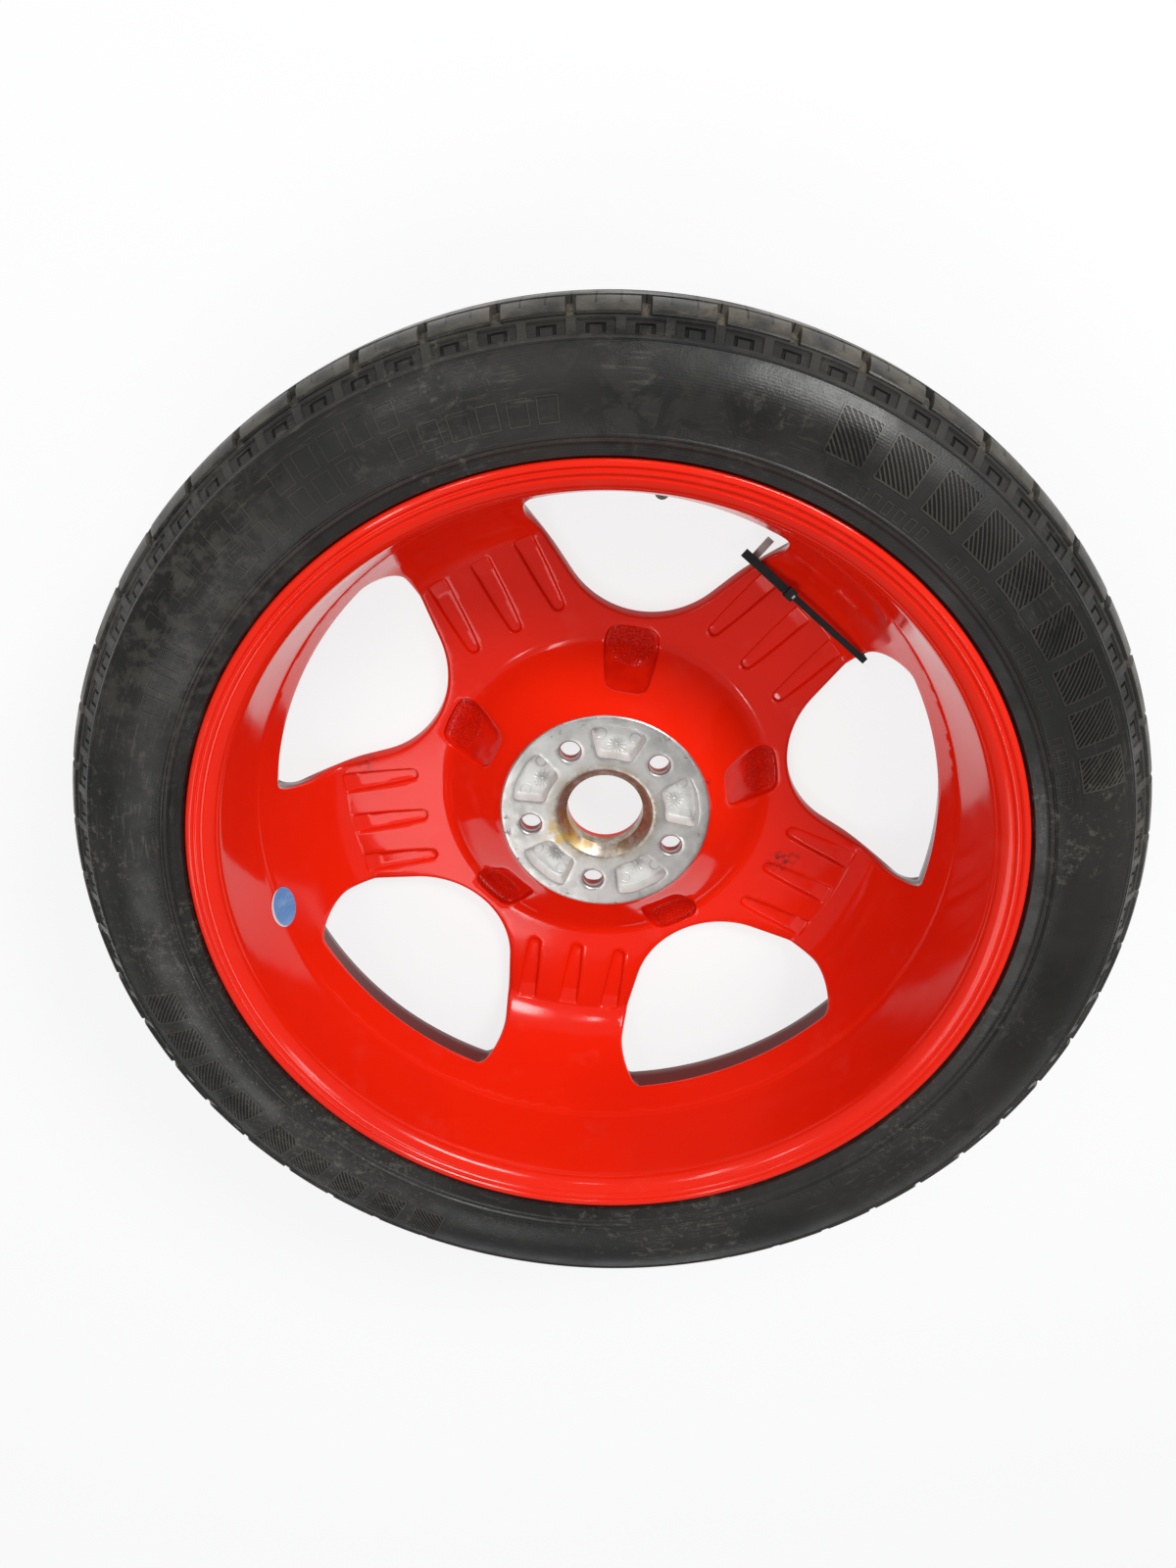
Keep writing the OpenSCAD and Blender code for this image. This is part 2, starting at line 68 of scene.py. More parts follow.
# ---------------------------------------------------------------- camera, light, floor
right = Vector((0.99937489, 0.0, -0.03535291))
down = Vector((0.01452749, -0.91166793, 0.41067085))
ahead = Vector((-0.03223012, -0.41092772, -0.91109803))
cam_data = bpy.data.cameras.new("camera")
cam_data.sensor_width = 36.0
cam_data.lens = FOCAL * cam_data.sensor_width / PHOTO_H
cam_data.shift_x = (PHOTO_W / 2 - CENTRE_X) / PHOTO_H
cam_data.shift_y = (CENTRE_Y - PHOTO_H / 2) / PHOTO_H
cam = bpy.data.objects.new("camera", cam_data)
scene.collection.objects.link(cam)
m = Matrix((right, -down, -ahead)).transposed().to_4x4()
m.translation = Vector((0.00636135, 0.35177946, 0.72740483))
cam.matrix_world = m
scene.camera = cam
scene.view_settings.view_transform = "Standard"


def area(name, pos, target, size, watts, colour=(1, 1, 1)):
    """A soft rectangular lamp that looks at a point."""
    lamp = bpy.data.lights.new(name, "AREA")
    lamp.shape = "RECTANGLE"
    lamp.size, lamp.size_y = size
    lamp.energy = watts
    lamp.color = colour
    ob = bpy.data.objects.new(name, lamp)
    scene.collection.objects.link(ob)
    ob.location = pos
    ob.rotation_euler = (Vector(target) - Vector(pos)).to_track_quat("-Z", "Y").to_euler()
    return ob


area("key", (1.15, 1.6, 1.55), (0, 0, 0), (0.9, 0.6), 40)
area("fill", (-0.9, -1.2, 2.2), (0, 0, 0), (1.4, 1.0), 14)
area("strip", (-0.9, 1.5, 1.9), (0, -0.1, 0), (0.2, 0.9), 7)
for k, spot in enumerate(((-0.75, 0.35, 1.9), (0.1, 2.0, 1.7), (-0.35, -1.5, 1.9), (0.9, -0.3, 2.1))):
    area(f"glint_{k}", spot, (0, 0, 0), (0.14, 0.14), 1.6)


def camera_white(nt, shader, share):
    """Adds white for camera, glossy and transmission rays to a stage shader."""
    path = nt.nodes.new("ShaderNodeLightPath")
    a = nt.nodes.new("ShaderNodeMath"); a.operation = "MAXIMUM"
    b = nt.nodes.new("ShaderNodeMath"); b.operation = "MAXIMUM"
    k = nt.nodes.new("ShaderNodeMath"); k.operation = "MULTIPLY"
    k.inputs[1].default_value = share
    nt.links.new(path.outputs["Is Camera Ray"], a.inputs[0])
    nt.links.new(path.outputs["Is Glossy Ray"], a.inputs[1])
    nt.links.new(a.outputs[0], b.inputs[0])
    nt.links.new(path.outputs["Is Transmission Ray"], b.inputs[1])
    nt.links.new(b.outputs[0], k.inputs[0])
    em = nt.nodes.new("ShaderNodeEmission")
    em.inputs["Strength"].default_value = 1.0
    mix = nt.nodes.new("ShaderNodeMixShader")
    nt.links.new(k.outputs[0], mix.inputs[0])
    nt.links.new(shader.outputs[0], mix.inputs[1])
    nt.links.new(em.outputs[0], mix.inputs[2])
    return mix


world = bpy.data.worlds.new("studio")
world.use_nodes = True
scene.world = world
wn = world.node_tree
bg = wn.nodes["Background"]
bg.inputs["Color"].default_value = (0.93, 0.96, 1.0, 1)
bg.inputs["Strength"].default_value = 0.40

floor_mesh = bpy.data.meshes.new("floor")
fz = -0.0561
floor_mesh.from_pydata([(-6, -6, fz), (6, -6, fz), (6, 6, fz), (-6, 6, fz)], [], [(0, 1, 2, 3)])
floor = bpy.data.objects.new("floor", floor_mesh)
scene.collection.objects.link(floor)
fm = bpy.data.materials.new("floor")
fm.use_nodes = True
nt = fm.node_tree
fb = nt.nodes["Principled BSDF"]
fb.inputs["Base Color"].default_value = (0.86, 0.86, 0.86, 1)
fb.inputs["Roughness"].default_value = 0.9
fmix = camera_white(nt, fb, 0.8)
nt.links.new(fmix.outputs[0], nt.nodes["Material Output"].inputs[0])
floor_mesh.materials.append(fm)


# ---------------------------------------------------------------- materials
class Mat:
    """A Principled material built from object coordinates in metres."""

    def __init__(self, name, colour, rough, metal=0.0, **kw):
        self.m = bpy.data.materials.new(name)
        self.m.use_nodes = True
        self.nt = self.m.node_tree
        self.b = self.nt.nodes["Principled BSDF"]
        self.b.inputs["Base Color"].default_value = (*colour, 1)
        self.b.inputs["Roughness"].default_value = rough
        self.b.inputs["Metallic"].default_value = metal
        for k, v in kw.items():
            self.b.inputs[k.replace("_", " ")].default_value = v
        self.co = self.nt.nodes.new("ShaderNodeTexCoord").outputs["Object"]
        self.col = None

    def link(self, a, b):
        self.nt.links.new(a, b)

    def math(self, op, a, b=0.0, c=None, clamp=False):
        """A Math node of numbers or sockets."""
        n = self.nt.nodes.new("ShaderNodeMath")
        n.operation = op
        n.use_clamp = clamp
        for i, v in enumerate((a, b, c)):
            if v is None:
                continue
            if isinstance(v, (int, float)):
                n.inputs[i].default_value = v
            else:
                self.link(v, n.inputs[i])
        return n.outputs[0]

    def noise(self, scale, detail=3.0, rough=0.5, stretch=None, distort=0.0, co=None):
        """Noise in object coordinates, or in the ones given."""
        n = self.nt.nodes.new("ShaderNodeTexNoise")
        n.inputs["Scale"].default_value = scale
        n.inputs["Detail"].default_value = detail
        n.inputs["Roughness"].default_value = rough
        n.inputs["Distortion"].default_value = distort
        co = co or self.co
        if stretch:
            mp = self.nt.nodes.new("ShaderNodeMapping")
            mp.inputs["Scale"].default_value = stretch
            self.link(co, mp.inputs[0])
            co = mp.outputs[0]
        self.link(co, n.inputs["Vector"])
        return n.outputs["Fac"]

    def ramp(self, x, lo, hi, a=0.0, b=1.0):
        """A smooth step from a to b as x goes from lo to hi."""
        n = self.nt.nodes.new("ShaderNodeMapRange")
        n.interpolation_type = "SMOOTHSTEP"
        for i, v in zip((1, 2, 3, 4), (lo, hi, a, b)):
            n.inputs[i].default_value = v
        self.link(x, n.inputs[0])
        return n.outputs[0]

    def radius(self):
        """The distance from the wheel's axis, and x, y and z."""
        s = self.nt.nodes.new("ShaderNodeSeparateXYZ")
        self.link(self.co, s.inputs[0])
        x2 = self.math("MULTIPLY", s.outputs[0], s.outputs[0])
        y2 = self.math("MULTIPLY", s.outputs[1], s.outputs[1])
        return self.math("SQRT", self.math("ADD", x2, y2)), s.outputs

    def near(self, p, r_in, r_out):
        """1 within r_in of a point, falling to 0 at r_out."""
        n = self.nt.nodes.new("ShaderNodeVectorMath")
        n.operation = "DISTANCE"
        self.link(self.co, n.inputs[0])
        n.inputs[1].default_value = p
        return self.ramp(n.outputs["Value"], r_in, r_out, 1.0, 0.0)

    def tint(self, fac, colour):
        """Mixes a colour over what is there."""
        n = self.nt.nodes.new("ShaderNodeMix")
        n.data_type = "RGBA"
        self.link(fac, n.inputs["Factor"])
        if self.col is None:
            n.inputs["A"].default_value = self.b.inputs["Base Color"].default_value[:]
        else:
            self.link(self.col, n.inputs["A"])
        n.inputs["B"].default_value = (*colour, 1)
        self.col = n.outputs["Result"]
        self.link(self.col, self.b.inputs["Base Color"])

    def rough(self, x, lo, hi, a, b):
        self.link(self.ramp(x, lo, hi, a, b), self.b.inputs["Roughness"])

    def bump(self, layers):
        """Bump from layers of height, strength and distance."""
        prev = None
        for h, strength, dist in layers:
            n = self.nt.nodes.new("ShaderNodeBump")
            n.inputs["Strength"].default_value = strength
            n.inputs["Distance"].default_value = dist
            self.link(h, n.inputs["Height"])
            if prev is not None:
                self.link(prev, n.inputs["Normal"])
            prev = n.outputs[0]
        self.link(prev, self.b.inputs["Normal"])
        return self


def red_paint(name, where=""):
    """The wheel's paint: on the casting at large, in a plate pocket, or on a window's wall; the pocket and the
    wall carry painted shade.
    """
    shine = {"wall": 0.05, "pocket": 0.22}.get(where, 0.30)
    t = Mat(name, (0.82, 0.017, 0.003), 0.16, Specular_IOR_Level=shine)
    t.tint(t.ramp(t.noise(7, 2), 0.35, 0.7, 0, 0.55), (0.72, 0.013, 0.003))
    r, _ = t.radius()
    # dust and thin dark specks, both in noise patches
    speck = t.ramp(t.noise(420, 2, 0.6), 0.70, 0.76)
    zone = t.ramp(t.noise(9, 3), 0.5, 0.72)
    t.tint(t.math("MULTIPLY", t.math("MULTIPLY", speck, zone), 0.55), (0.30, 0.02, 0.012))
    dust = t.math("MULTIPLY", t.ramp(t.noise(26, 6, 0.65), 0.55, 0.8), 0.10)
    t.tint(dust, (0.75, 0.20, 0.14))
    # smudges on two spokes and one beside the machined face
    for p, a, b, s in (((0.139, -0.061, -0.042), 0.004, 0.014, 0.8),
                       ((0.150, -0.056, -0.042), 0.002, 0.008, 0.5),
                       ((-0.186, 0.021, -0.042), 0.003, 0.012, 0.5),
                       ((0.075, 0.026, -0.004), 0.001, 0.004, 0.9)):
        f = t.math("MULTIPLY", t.near(p, a, b), t.ramp(t.noise(230, 5, 0.7), 0.46, 0.58))
        t.tint(t.math("MULTIPLY", f, s), (0.06, 0.02, 0.018))
    layers = [(t.noise(330, 2), 0.06, 0.0003), (t.noise(34, 3), 0.08, 0.0012)]
    if where == "pocket":
        # painted shade: the pocket's red is tinted darker in noise patches as shade in the recess, over rough
        # foundry grain in the outer end of each plate pocket
        t.tint(t.ramp(t.noise(60, 3), 0.3, 0.7, 0.35, 0.75), (0.54, 0.006, 0.0015))
        grain = None
        for deg in GAPS:
            x, y = GRAIN_C * MM * math.cos(math.radians(deg)), GRAIN_C * MM * math.sin(math.radians(deg))
            f = t.near((x, y, -0.042), 0.0145, 0.0185)
            grain = f if grain is None else t.math("MAXIMUM", grain, f)
        layers.append((t.math("MULTIPLY", grain, t.ramp(t.noise(620, 1, 0.5), 0.44, 0.56)), 0.8, 0.0012))
    if where == "wall":
        # painted shade: the outer wall of each window darkens to brown-red by radius, as shade on that wall
        t.tint(t.ramp(r, 0.216, 0.238, 0, 0.95), (0.085, 0.007, 0.004))
    t.rough(t.noise(16, 4), 0.3, 0.75, 0.08, 0.19)
    t.bump(layers)
    return t.m


def pad_metal():
    """Turned aluminium with a brown stain round the bore and nicks at its rim."""
    t = Mat("machined_face", (0.54, 0.535, 0.51), 0.34, 0.9)
    r, _ = t.radius()
    rings = t.math("SINE", t.math("MULTIPLY", r, 8200))
    t.tint(t.ramp(t.noise(38, 5, 0.6), 0.35, 0.7, 0, 0.6), (0.30, 0.295, 0.275))
    ring_mask = t.ramp(r, 0.030, 0.047, 1, 0)
    stain = t.math("MULTIPLY", ring_mask, t.ramp(t.noise(85, 6, 0.7), 0.34, 0.58))
    t.tint(t.math("MULTIPLY", stain, 0.85), (0.27, 0.185, 0.075))
    low = t.math("MULTIPLY", t.near((-0.030, -0.018, -0.004), 0.006, 0.024), t.ramp(t.noise(120, 4), 0.4, 0.6))
    t.tint(t.math("MULTIPLY", low, 0.8), (0.55, 0.36, 0.07))
    nick = t.math("MULTIPLY", t.ramp(r, 0.068, 0.0765), t.ramp(t.noise(160, 5, 0.75), 0.60, 0.66))
    t.tint(t.math("MULTIPLY", nick, 0.8), (0.10, 0.095, 0.09))
    t.rough(t.noise(60, 5, 0.7), 0.3, 0.7, 0.28, 0.50)
    t.bump([(rings, 0.07, 0.0001), (t.noise(900, 2), 0.12, 0.0002), (nick, 0.4, -0.0006)])
    return t.m


def cast_metal():
    """Pale blasted metal in the hub pockets."""
    t = Mat("blasted_pocket", (0.66, 0.655, 0.63), 0.46, 0.25)
    t.tint(t.ramp(t.noise(150, 4), 0.4, 0.7, 0, 0.5), (0.54, 0.535, 0.515))
    t.tint(t.math("MULTIPLY", t.ramp(t.noise(60, 5), 0.58, 0.72), 0.3), (0.50, 0.42, 0.26))
    t.rough(t.noise(220, 3), 0.3, 0.7, 0.42, 0.62)
    t.bump([(t.noise(1500, 2), 0.30, 0.0002), (t.noise(240, 3), 0.15, 0.0004)])
    return t.m


def tyre_rubber(name, mud, tone=1.0):
    """Rubber at a tone, lighter for painted highlight and darker for painted shade; mud also cuts the tread's
    sipes, three to each of its 54 blocks, darkened as painted shade.
    """
    t = Mat(name, tuple(c * tone for c in (0.0090, 0.0083, 0.0070)), 0.6,
            Specular_IOR_Level=0.32 * min(1, tone))
    r, xyz = t.radius()
    broad = t.ramp(t.noise(5.5, 5, 0.6), 0.42, 0.68)
    t.tint(t.math("MULTIPLY", broad, 0.7), tuple(c * tone for c in (0.023, 0.0205, 0.0165)))
    streak = t.ramp(t.noise(24, 6, 0.7, distort=0.6), 0.52, 0.66)
    t.tint(t.math("MULTIPLY", streak, 0.7), (0.006, 0.0055, 0.005))
    dust = t.math("MULTIPLY", t.ramp(t.noise(150, 6, 0.75), 0.52, 0.66), t.ramp(t.noise(8, 3), 0.45, 0.65))
    t.tint(t.math("MULTIPLY", dust, 0.6), (0.105, 0.095, 0.078))
    # scuffs that run round the tyre, faded out where the angle wraps
    ang = t.math("ARCTAN2", xyz[1], xyz[0])
    polar = t.nt.nodes.new("ShaderNodeCombineXYZ")
    t.link(t.math("MULTIPLY", r, 420), polar.inputs[0])
    t.link(t.math("MULTIPLY", ang, 13), polar.inputs[1])
    scuff = t.math("MULTIPLY", t.ramp(t.noise(1.0, 5, 0.7, co=polar.outputs[0]), 0.54, 0.66),
                   t.ramp(t.noise(9, 3), 0.44, 0.62))
    scuff = t.math("MULTIPLY", scuff, t.ramp(t.math("ABSOLUTE", ang), 3.02, 3.12, 1, 0))
    t.tint(t.math("MULTIPLY", scuff, 0.6), (0.080, 0.073, 0.060))
    if mud:
        t.tint(t.math("MULTIPLY", t.ramp(t.noise(30, 5, 0.65), 0.35, 0.65), 0.65), (0.115, 0.098, 0.070))
        t.tint(t.math("MULTIPLY", t.ramp(t.noise(300, 4), 0.56, 0.66), 0.45), (0.03, 0.027, 0.022))
    # fine dust specks, thickest low on the left, and a dry grey bloom beside the bead there
    speck = t.math("MULTIPLY", t.ramp(t.noise(520, 3, 0.6), 0.60, 0.68),
                   t.near((-0.24, -0.17, 0.12), 0.03, 0.26))
    t.tint(t.math("MULTIPLY", speck, 0.6), (0.13, 0.115, 0.09))
    bloom = t.math("MULTIPLY", t.near((-0.27, 0.20, 0.12), 0.03, 0.14), t.ramp(t.noise(80, 6, 0.7), 0.44, 0.60))
    t.tint(t.math("MULTIPLY", bloom, 0.40), (0.085, 0.078, 0.065))
    # a wet-looking dark patch at the top
    dark = t.math("MULTIPLY", t.near((0.03, 0.315, 0.12), 0.02, 0.075),
                  t.ramp(t.noise(42, 5, 0.7, distort=0.8), 0.44, 0.56))
    t.tint(t.math("MULTIPLY", dark, 0.85), (0.004, 0.0035, 0.003))
    t.rough(t.noise(20, 5, 0.6), 0.35, 0.7, 0.32, 0.55)
    layers = [(t.noise(700, 3), 0.25, 0.0004), (t.noise(60, 4), 0.18, 0.001)]
    if mud:
        turn_ = t.math("MULTIPLY", ang, 54 * 3 / (2 * math.pi))
        off = t.math("ABSOLUTE", t.math("SUBTRACT", t.math("FRACT", t.math("ADD", turn_, 0.5)), 0.5))
        sipe = t.math("MULTIPLY", t.ramp(off, 0.030, 0.042, 1, 0), t.ramp(r, 0.3478, 0.3484))
        # painted shade: the sipe lines are darkened as shade in the slits that the bump cuts
        t.tint(t.math("MULTIPLY", sipe, 0.92), (0.004, 0.0035, 0.003))
        layers.append((sipe, 0.8, -0.0012))
    else:
        layers.append((t.math("SINE", t.math("MULTIPLY", r, 3900)), 0.05, 0.0002))
    t.bump(layers)
    return t.m


def groove_mud():
    """Dried stony mud in the tread's grooves and notches."""
    t = Mat("groove_mud", (0.085, 0.068, 0.046), 0.85)
    t.tint(t.ramp(t.noise(260, 5, 0.7), 0.4, 0.65), (0.022, 0.020, 0.017))
    t.tint(t.math("MULTIPLY", t.ramp(t.noise(900, 3), 0.6, 0.68), 0.6), (0.24, 0.20, 0.15))
    t.bump([(t.noise(420, 5, 0.7), 0.8, 0.0012)])
    return t.m


def plain(name, colour, rough, metal=0.0, grain=500, strength=0.15, second=None, **kw):
    """A small part's finish: two tones, uneven gloss and fine grain."""
    t = Mat(name, colour, rough, metal, **kw)
    t.tint(t.ramp(t.noise(grain * 0.3, 4), 0.4, 0.7, 0, 0.6), second or tuple(c * 0.7 for c in colour))
    t.rough(t.noise(grain * 0.2, 3), 0.3, 0.7, max(0.05, rough - 0.08), min(1, rough + 0.1))
    t.bump([(t.noise(grain, 3), strength, 0.0002)])
    return t.m


RED = red_paint("red_paint")
SHADED_TRAY_RED = red_paint("red_pocket_painted_shade", "pocket")
SHADED_WALL_RED = red_paint("red_window_wall_painted_shade", "wall")
PAD = pad_metal()
CAST = cast_metal()
RUBBER = tyre_rubber("sidewall_rubber", False)
TREAD = tyre_rubber("tread_rubber", True)
MUD = groove_mud()
# painted light: copies of the sidewall rubber, lighter as painted highlight on the band's raised bars and the
# marks' ribs, darker as painted shade in the engraved arches and the blocks' ground
LIT_BAND_RUBBER = tyre_rubber("band_rubber_painted_highlight", False, 2.0)
SHADED_RECESS_RUBBER = tyre_rubber("recess_rubber_painted_shade", False, 0.5)
LIT_RIB_RUBBER = tyre_rubber("rib_rubber_painted_highlight", False, 2.8)
DARK_RED = plain("red_shadow_side", (0.42, 0.012, 0.006), 0.4, second=(0.3, 0.01, 0.006))
BLACK = plain("tie_nylon", (0.007, 0.007, 0.007), 0.34, grain=700, strength=0.1, Specular_IOR_Level=0.35)
GREY_FILM = plain("grey_strip", (0.50, 0.44, 0.41), 0.42, grain=300, second=(0.16, 0.13, 0.12))
BRASS = plain("brass", (0.66, 0.47, 0.20), 0.34, 1.0, grain=900)
STEEL = plain("steel", (0.55, 0.55, 0.53), 0.3, 1.0, grain=900)
SEAL = plain("seal_rubber", (0.28, 0.05, 0.03), 0.6)
VALVE = plain("valve_rubber", (0.022, 0.021, 0.020), 0.55, grain=600, strength=0.25)
CAP = plain("cap_plastic", (0.018, 0.018, 0.018), 0.36, grain=600)


# ---------------------------------------------------------------- mesh helpers
class Build:
    """Gathers points, faces and their materials in millimetres, then makes one object."""

    def __init__(self):
        self.v, self.f, self.m = [], [], []

    def add(self, verts, faces, mat):
        b = len(self.v)
        self.v += [tuple(p) for p in verts]
        self.f += [tuple(b + i for i in f) for f in faces]
        self.m += list(mat) if isinstance(mat, (list, tuple)) else [mat] * len(faces)

    def grid(self, rows, mat, closed=True):
        """Quads between rows of points; mat is an index or a function of row and column."""
        n = len(rows[0])
        verts = [p for r in rows for p in r]
        faces, mats = [], []
        for i in range(len(rows) - 1):
            for j in range(n if closed else n - 1):
                k = (j + 1) % n
                faces.append((i * n + j, i * n + k, (i + 1) * n + k, (i + 1) * n + j))
                mats.append(mat(i, j) if callable(mat) else mat)
        self.add(verts, faces, mats)

    def make(self, name, mats, body="wheel", sharp=32, merge=0.01):
        """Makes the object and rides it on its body."""
        me = bpy.data.meshes.new(name)
        me.from_pydata([(x * MM, y * MM, z * MM) for x, y, z in self.v], [], self.f)
        for mt in mats:
            me.materials.append(mt)
        me.polygons.foreach_set("material_index", self.m)
        bm = bmesh.new()
        bm.from_mesh(me)
        if merge:
            bmesh.ops.remove_doubles(bm, verts=bm.verts, dist=merge * MM)
        bmesh.ops.dissolve_degenerate(bm, edges=bm.edges, dist=1e-7)
        bmesh.ops.recalc_face_normals(bm, faces=bm.faces)
        bm.to_mesh(me)
        bm.free()
        me.polygons.foreach_set("use_smooth", [True] * len(me.polygons))
        me.set_sharp_from_angle(angle=math.radians(sharp))
        ob = bpy.data.objects.new(name, me)
        scene.collection.objects.link(ob)
        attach(ob, body)
        return ob


def bend(a, b, c, n):
    """A quadratic curve from a to c, drawn towards b, without a itself."""
    return [tuple((1 - t) ** 2 * a[k] + 2 * t * (1 - t) * b[k] + t * t * c[k] for k in (0, 1))
            for t in (i / n for i in range(1, n + 1))]


def spline(pts, n):
    """Catmull-Rom through the points, n steps a span."""
    p = [pts[0]] + list(pts) + [pts[-1]]
    out = [pts[0]]
    for i in range(1, len(p) - 2):
        for k in range(1, n + 1):
            t = k / n
            out.append(tuple(0.5 * (2 * p[i][j] + (p[i + 1][j] - p[i - 1][j]) * t
                                    + (2 * p[i - 1][j] - 5 * p[i][j] + 4 * p[i + 1][j] - p[i + 2][j]) * t * t
                                    + (3 * p[i][j] - p[i - 1][j] - 3 * p[i + 1][j] + p[i + 2][j]) * t ** 3)
                             for j in (0, 1)))
    return out


def turn(pts, deg):
    """Points turned about the wheel's axis."""
    c, s = math.cos(math.radians(deg)), math.sin(math.radians(deg))
    return [(x * c - y * s, x * s + y * c) for x, y in pts]


def signed(P, poly):
    """Distance of points to a closed outline, positive inside."""
    q = np.asarray(poly, float)
    P = np.asarray(P, float)
    best = np.full(len(P), 1e9)
    inside = np.zeros(len(P), bool)
    for a, b in zip(q, np.roll(q, -1, 0)):
        e = b - a
        w = P - a
        t = np.clip((w @ e) / max(e @ e, 1e-12), 0, 1)
        best = np.minimum(best, np.hypot(*(w - t[:, None] * e).T))
        cond = (a[1] > P[:, 1]) != (b[1] > P[:, 1])
        with np.errstate(divide="ignore", invalid="ignore"):
            x = a[0] + (P[:, 1] - a[1]) * e[0] / (e[1] if e[1] else 1e-12)
        inside ^= cond & (P[:, 0] < x)
    return np.where(inside, best, -best)


def offset(poly, dist):
    """Moves each corner of a closed counter-clockwise outline outwards by its distance."""
    q = np.asarray(poly, float)
    t = np.roll(q, -1, 0) - np.roll(q, 1, 0)
    n = np.stack([t[:, 1], -t[:, 0]], 1)
    n /= np.linalg.norm(n, axis=1)[:, None]
    return q + n * np.asarray(dist).reshape(-1, 1)


def resample(poly, step):
    """Points at even steps along a closed outline."""
    q = np.asarray(list(poly) + [poly[0]], float)
    d = np.r_[0, np.cumsum(np.hypot(*np.diff(q, axis=0).T))]
    n = max(8, int(round(d[-1] / step)))
    s = np.linspace(0, d[-1], n, endpoint=False)
    return np.stack([np.interp(s, d, q[:, 0]), np.interp(s, d, q[:, 1])], 1)


def circle(r, step, n=None):
    n = n or max(24, int(round(2 * math.pi * r / step)))
    a = np.arange(n) * 2 * math.pi / n
    return np.stack([r * np.cos(a), r * np.sin(a)], 1)


def hexgrid(x0, x1, y0, y1, s):
    out = []
    h = s * math.sqrt(3) / 2
    for j in range(int((y1 - y0) / h) + 1):
        for i in range(int((x1 - x0) / s) + 1):
            out.append((x0 + i * s + (j % 2) * s / 2, y0 + j * h))
    return np.array(out)


def triangulate(loops, fills, holes, r_lo, r_hi):
    """Triangles between outlines: loops are (points, closed), fills are (points, spacing)."""
    V, E = [], []
    for pts, closed in loops:
        b, n = len(V), len(pts)
        V += [tuple(p) for p in pts]
        E += [(b + i, b + (i + 1) % n) for i in range(n if closed else n - 1)]
    for pts, sp in fills:
        kd = KDTree(len(V))
        for i, p in enumerate(V):
            kd.insert((p[0], p[1], 0), i)
        kd.balance()
        V += [tuple(p) for p in pts if kd.find((p[0], p[1], 0))[2] > 0.55 * sp]
    out = delaunay_2d_cdt([Vector(v) for v in V], E, [], 0, 1e-4, False)
    P = np.array([(v[0], v[1]) for v in out[0]])
    F = np.array([tuple(f) for f in out[2]])
    c = P[F].mean(1)
    r = np.hypot(*c.T)
    keep = (r > r_lo) & (r < r_hi)
    for h in holes:
        keep &= signed(c, h) < 0
    return P, F[keep]


def clip(pts, closed, bad):
    """Cuts a loop into the open runs that lie outside the bad zones."""
    if not bad.any():
        return [(pts, closed)]
    n = len(pts)
    start = int(np.argmax(bad)) if closed else 0
    runs, cur = [], []
    for k in range(n):
        i = (start + k) % n
        if bad[i]:
            if len(cur) > 1:
                runs.append((np.array(cur), False))
            cur = []
        else:
            cur.append(pts[i])
    if len(cur) > 1:
        runs.append((np.array(cur), False))
    return runs


# ---------------------------------------------------------------- the casting
# the back's section: bore, machined face, dish, spoke plane, and the rise to the barrel
rise = spline([(205.6, -40.9), (207, -39.9), (210, -37.4), (215, -32.4), (220, -26.0), (225, -18.0),
               (230, -7.2), (234, 4.8), (237.6, 19.0), (241, 32.8), (242.5, 39)], 3) + [(244, 45)]
back = ([(BORE_R, -7.3), (35.4, -0.45), (36.2, 0), (76.4, 0), (77.3, -0.3), (78.0, -1.1), (78.8, -2.2)]
        + [(116.5, -35.5)] + bend((116.5, -35.5), (123.8, -42), (131.3, -42), 7)
        + [(203.6, -42), (204.6, -41.75)] + rise)
BR = np.array([p[0] for p in back])
BZ = np.array([p[1] for p in back])
step_len = np.where(BR[1:] > 204, np.hypot(np.diff(BR), np.diff(BZ)), np.diff(BR))
BU = BR[0] + np.r_[0, np.cumsum(step_len)]
seg_n = np.stack([-np.diff(BZ), np.diff(BR)], 1)
seg_n /= np.linalg.norm(seg_n, axis=1)[:, None]
BN = np.vstack([seg_n[:1], seg_n[:-1] + seg_n[1:], seg_n[-1:]])
BN /= np.linalg.norm(BN, axis=1)[:, None]


def window(r_out, grow):
    """A window's outline for an outer radius and an outward offset, its own axis along +y."""
    n = np.array([math.cos(math.radians(SIDE)), -math.sin(math.radians(SIDE))])
    line = n @ (0, NOSE_C) + NOSE_R
    off, d = line - CORNER, r_out - CORNER
    s = math.sqrt(d * d - off * off)
    c = off * n + s * np.array([-n[1], n[0]])
    top = math.degrees(math.atan2(c[1], c[0]))
    arc = lambda cx, cy, r, a, b, k: [(cx + r * math.cos(math.radians(a + (b - a) * i / k)),
                                       cy + r * math.sin(math.radians(a + (b - a) * i / k))) for i in range(k)]
    nose = arc(0, NOSE_C, NOSE_R + grow, 180 + SIDE, 360 - SIDE, 40)
    p0 = np.array([0, NOSE_C]) + n * (NOSE_R + grow)
    p1 = c + n * (CORNER + grow)
    side = [tuple(p0 + (p1 - p0) * i / 16) for i in range(16)]
    corner = arc(c[0], c[1], CORNER + grow, -SIDE, top, 14)
    outer = arc(0, 0, r_out + grow, top, 180 - top, 54)
    corner2 = arc(-c[0], c[1], CORNER + grow, 180 - top, 180 + SIDE, 14)
    side2 = [(-x, y) for x, y in [tuple(p1 + (p0 - p1) * i / 16) for i in range(16)]]
    return np.array(nose + side + corner + outer + corner2 + side2)


def to_u(pts):
    """Outline points with their radius changed to the back section's arc length."""
    p = np.asarray(pts, float)
    r = np.hypot(*p.T)
    return p * (np.interp(r, BR, BU) / r)[:, None]


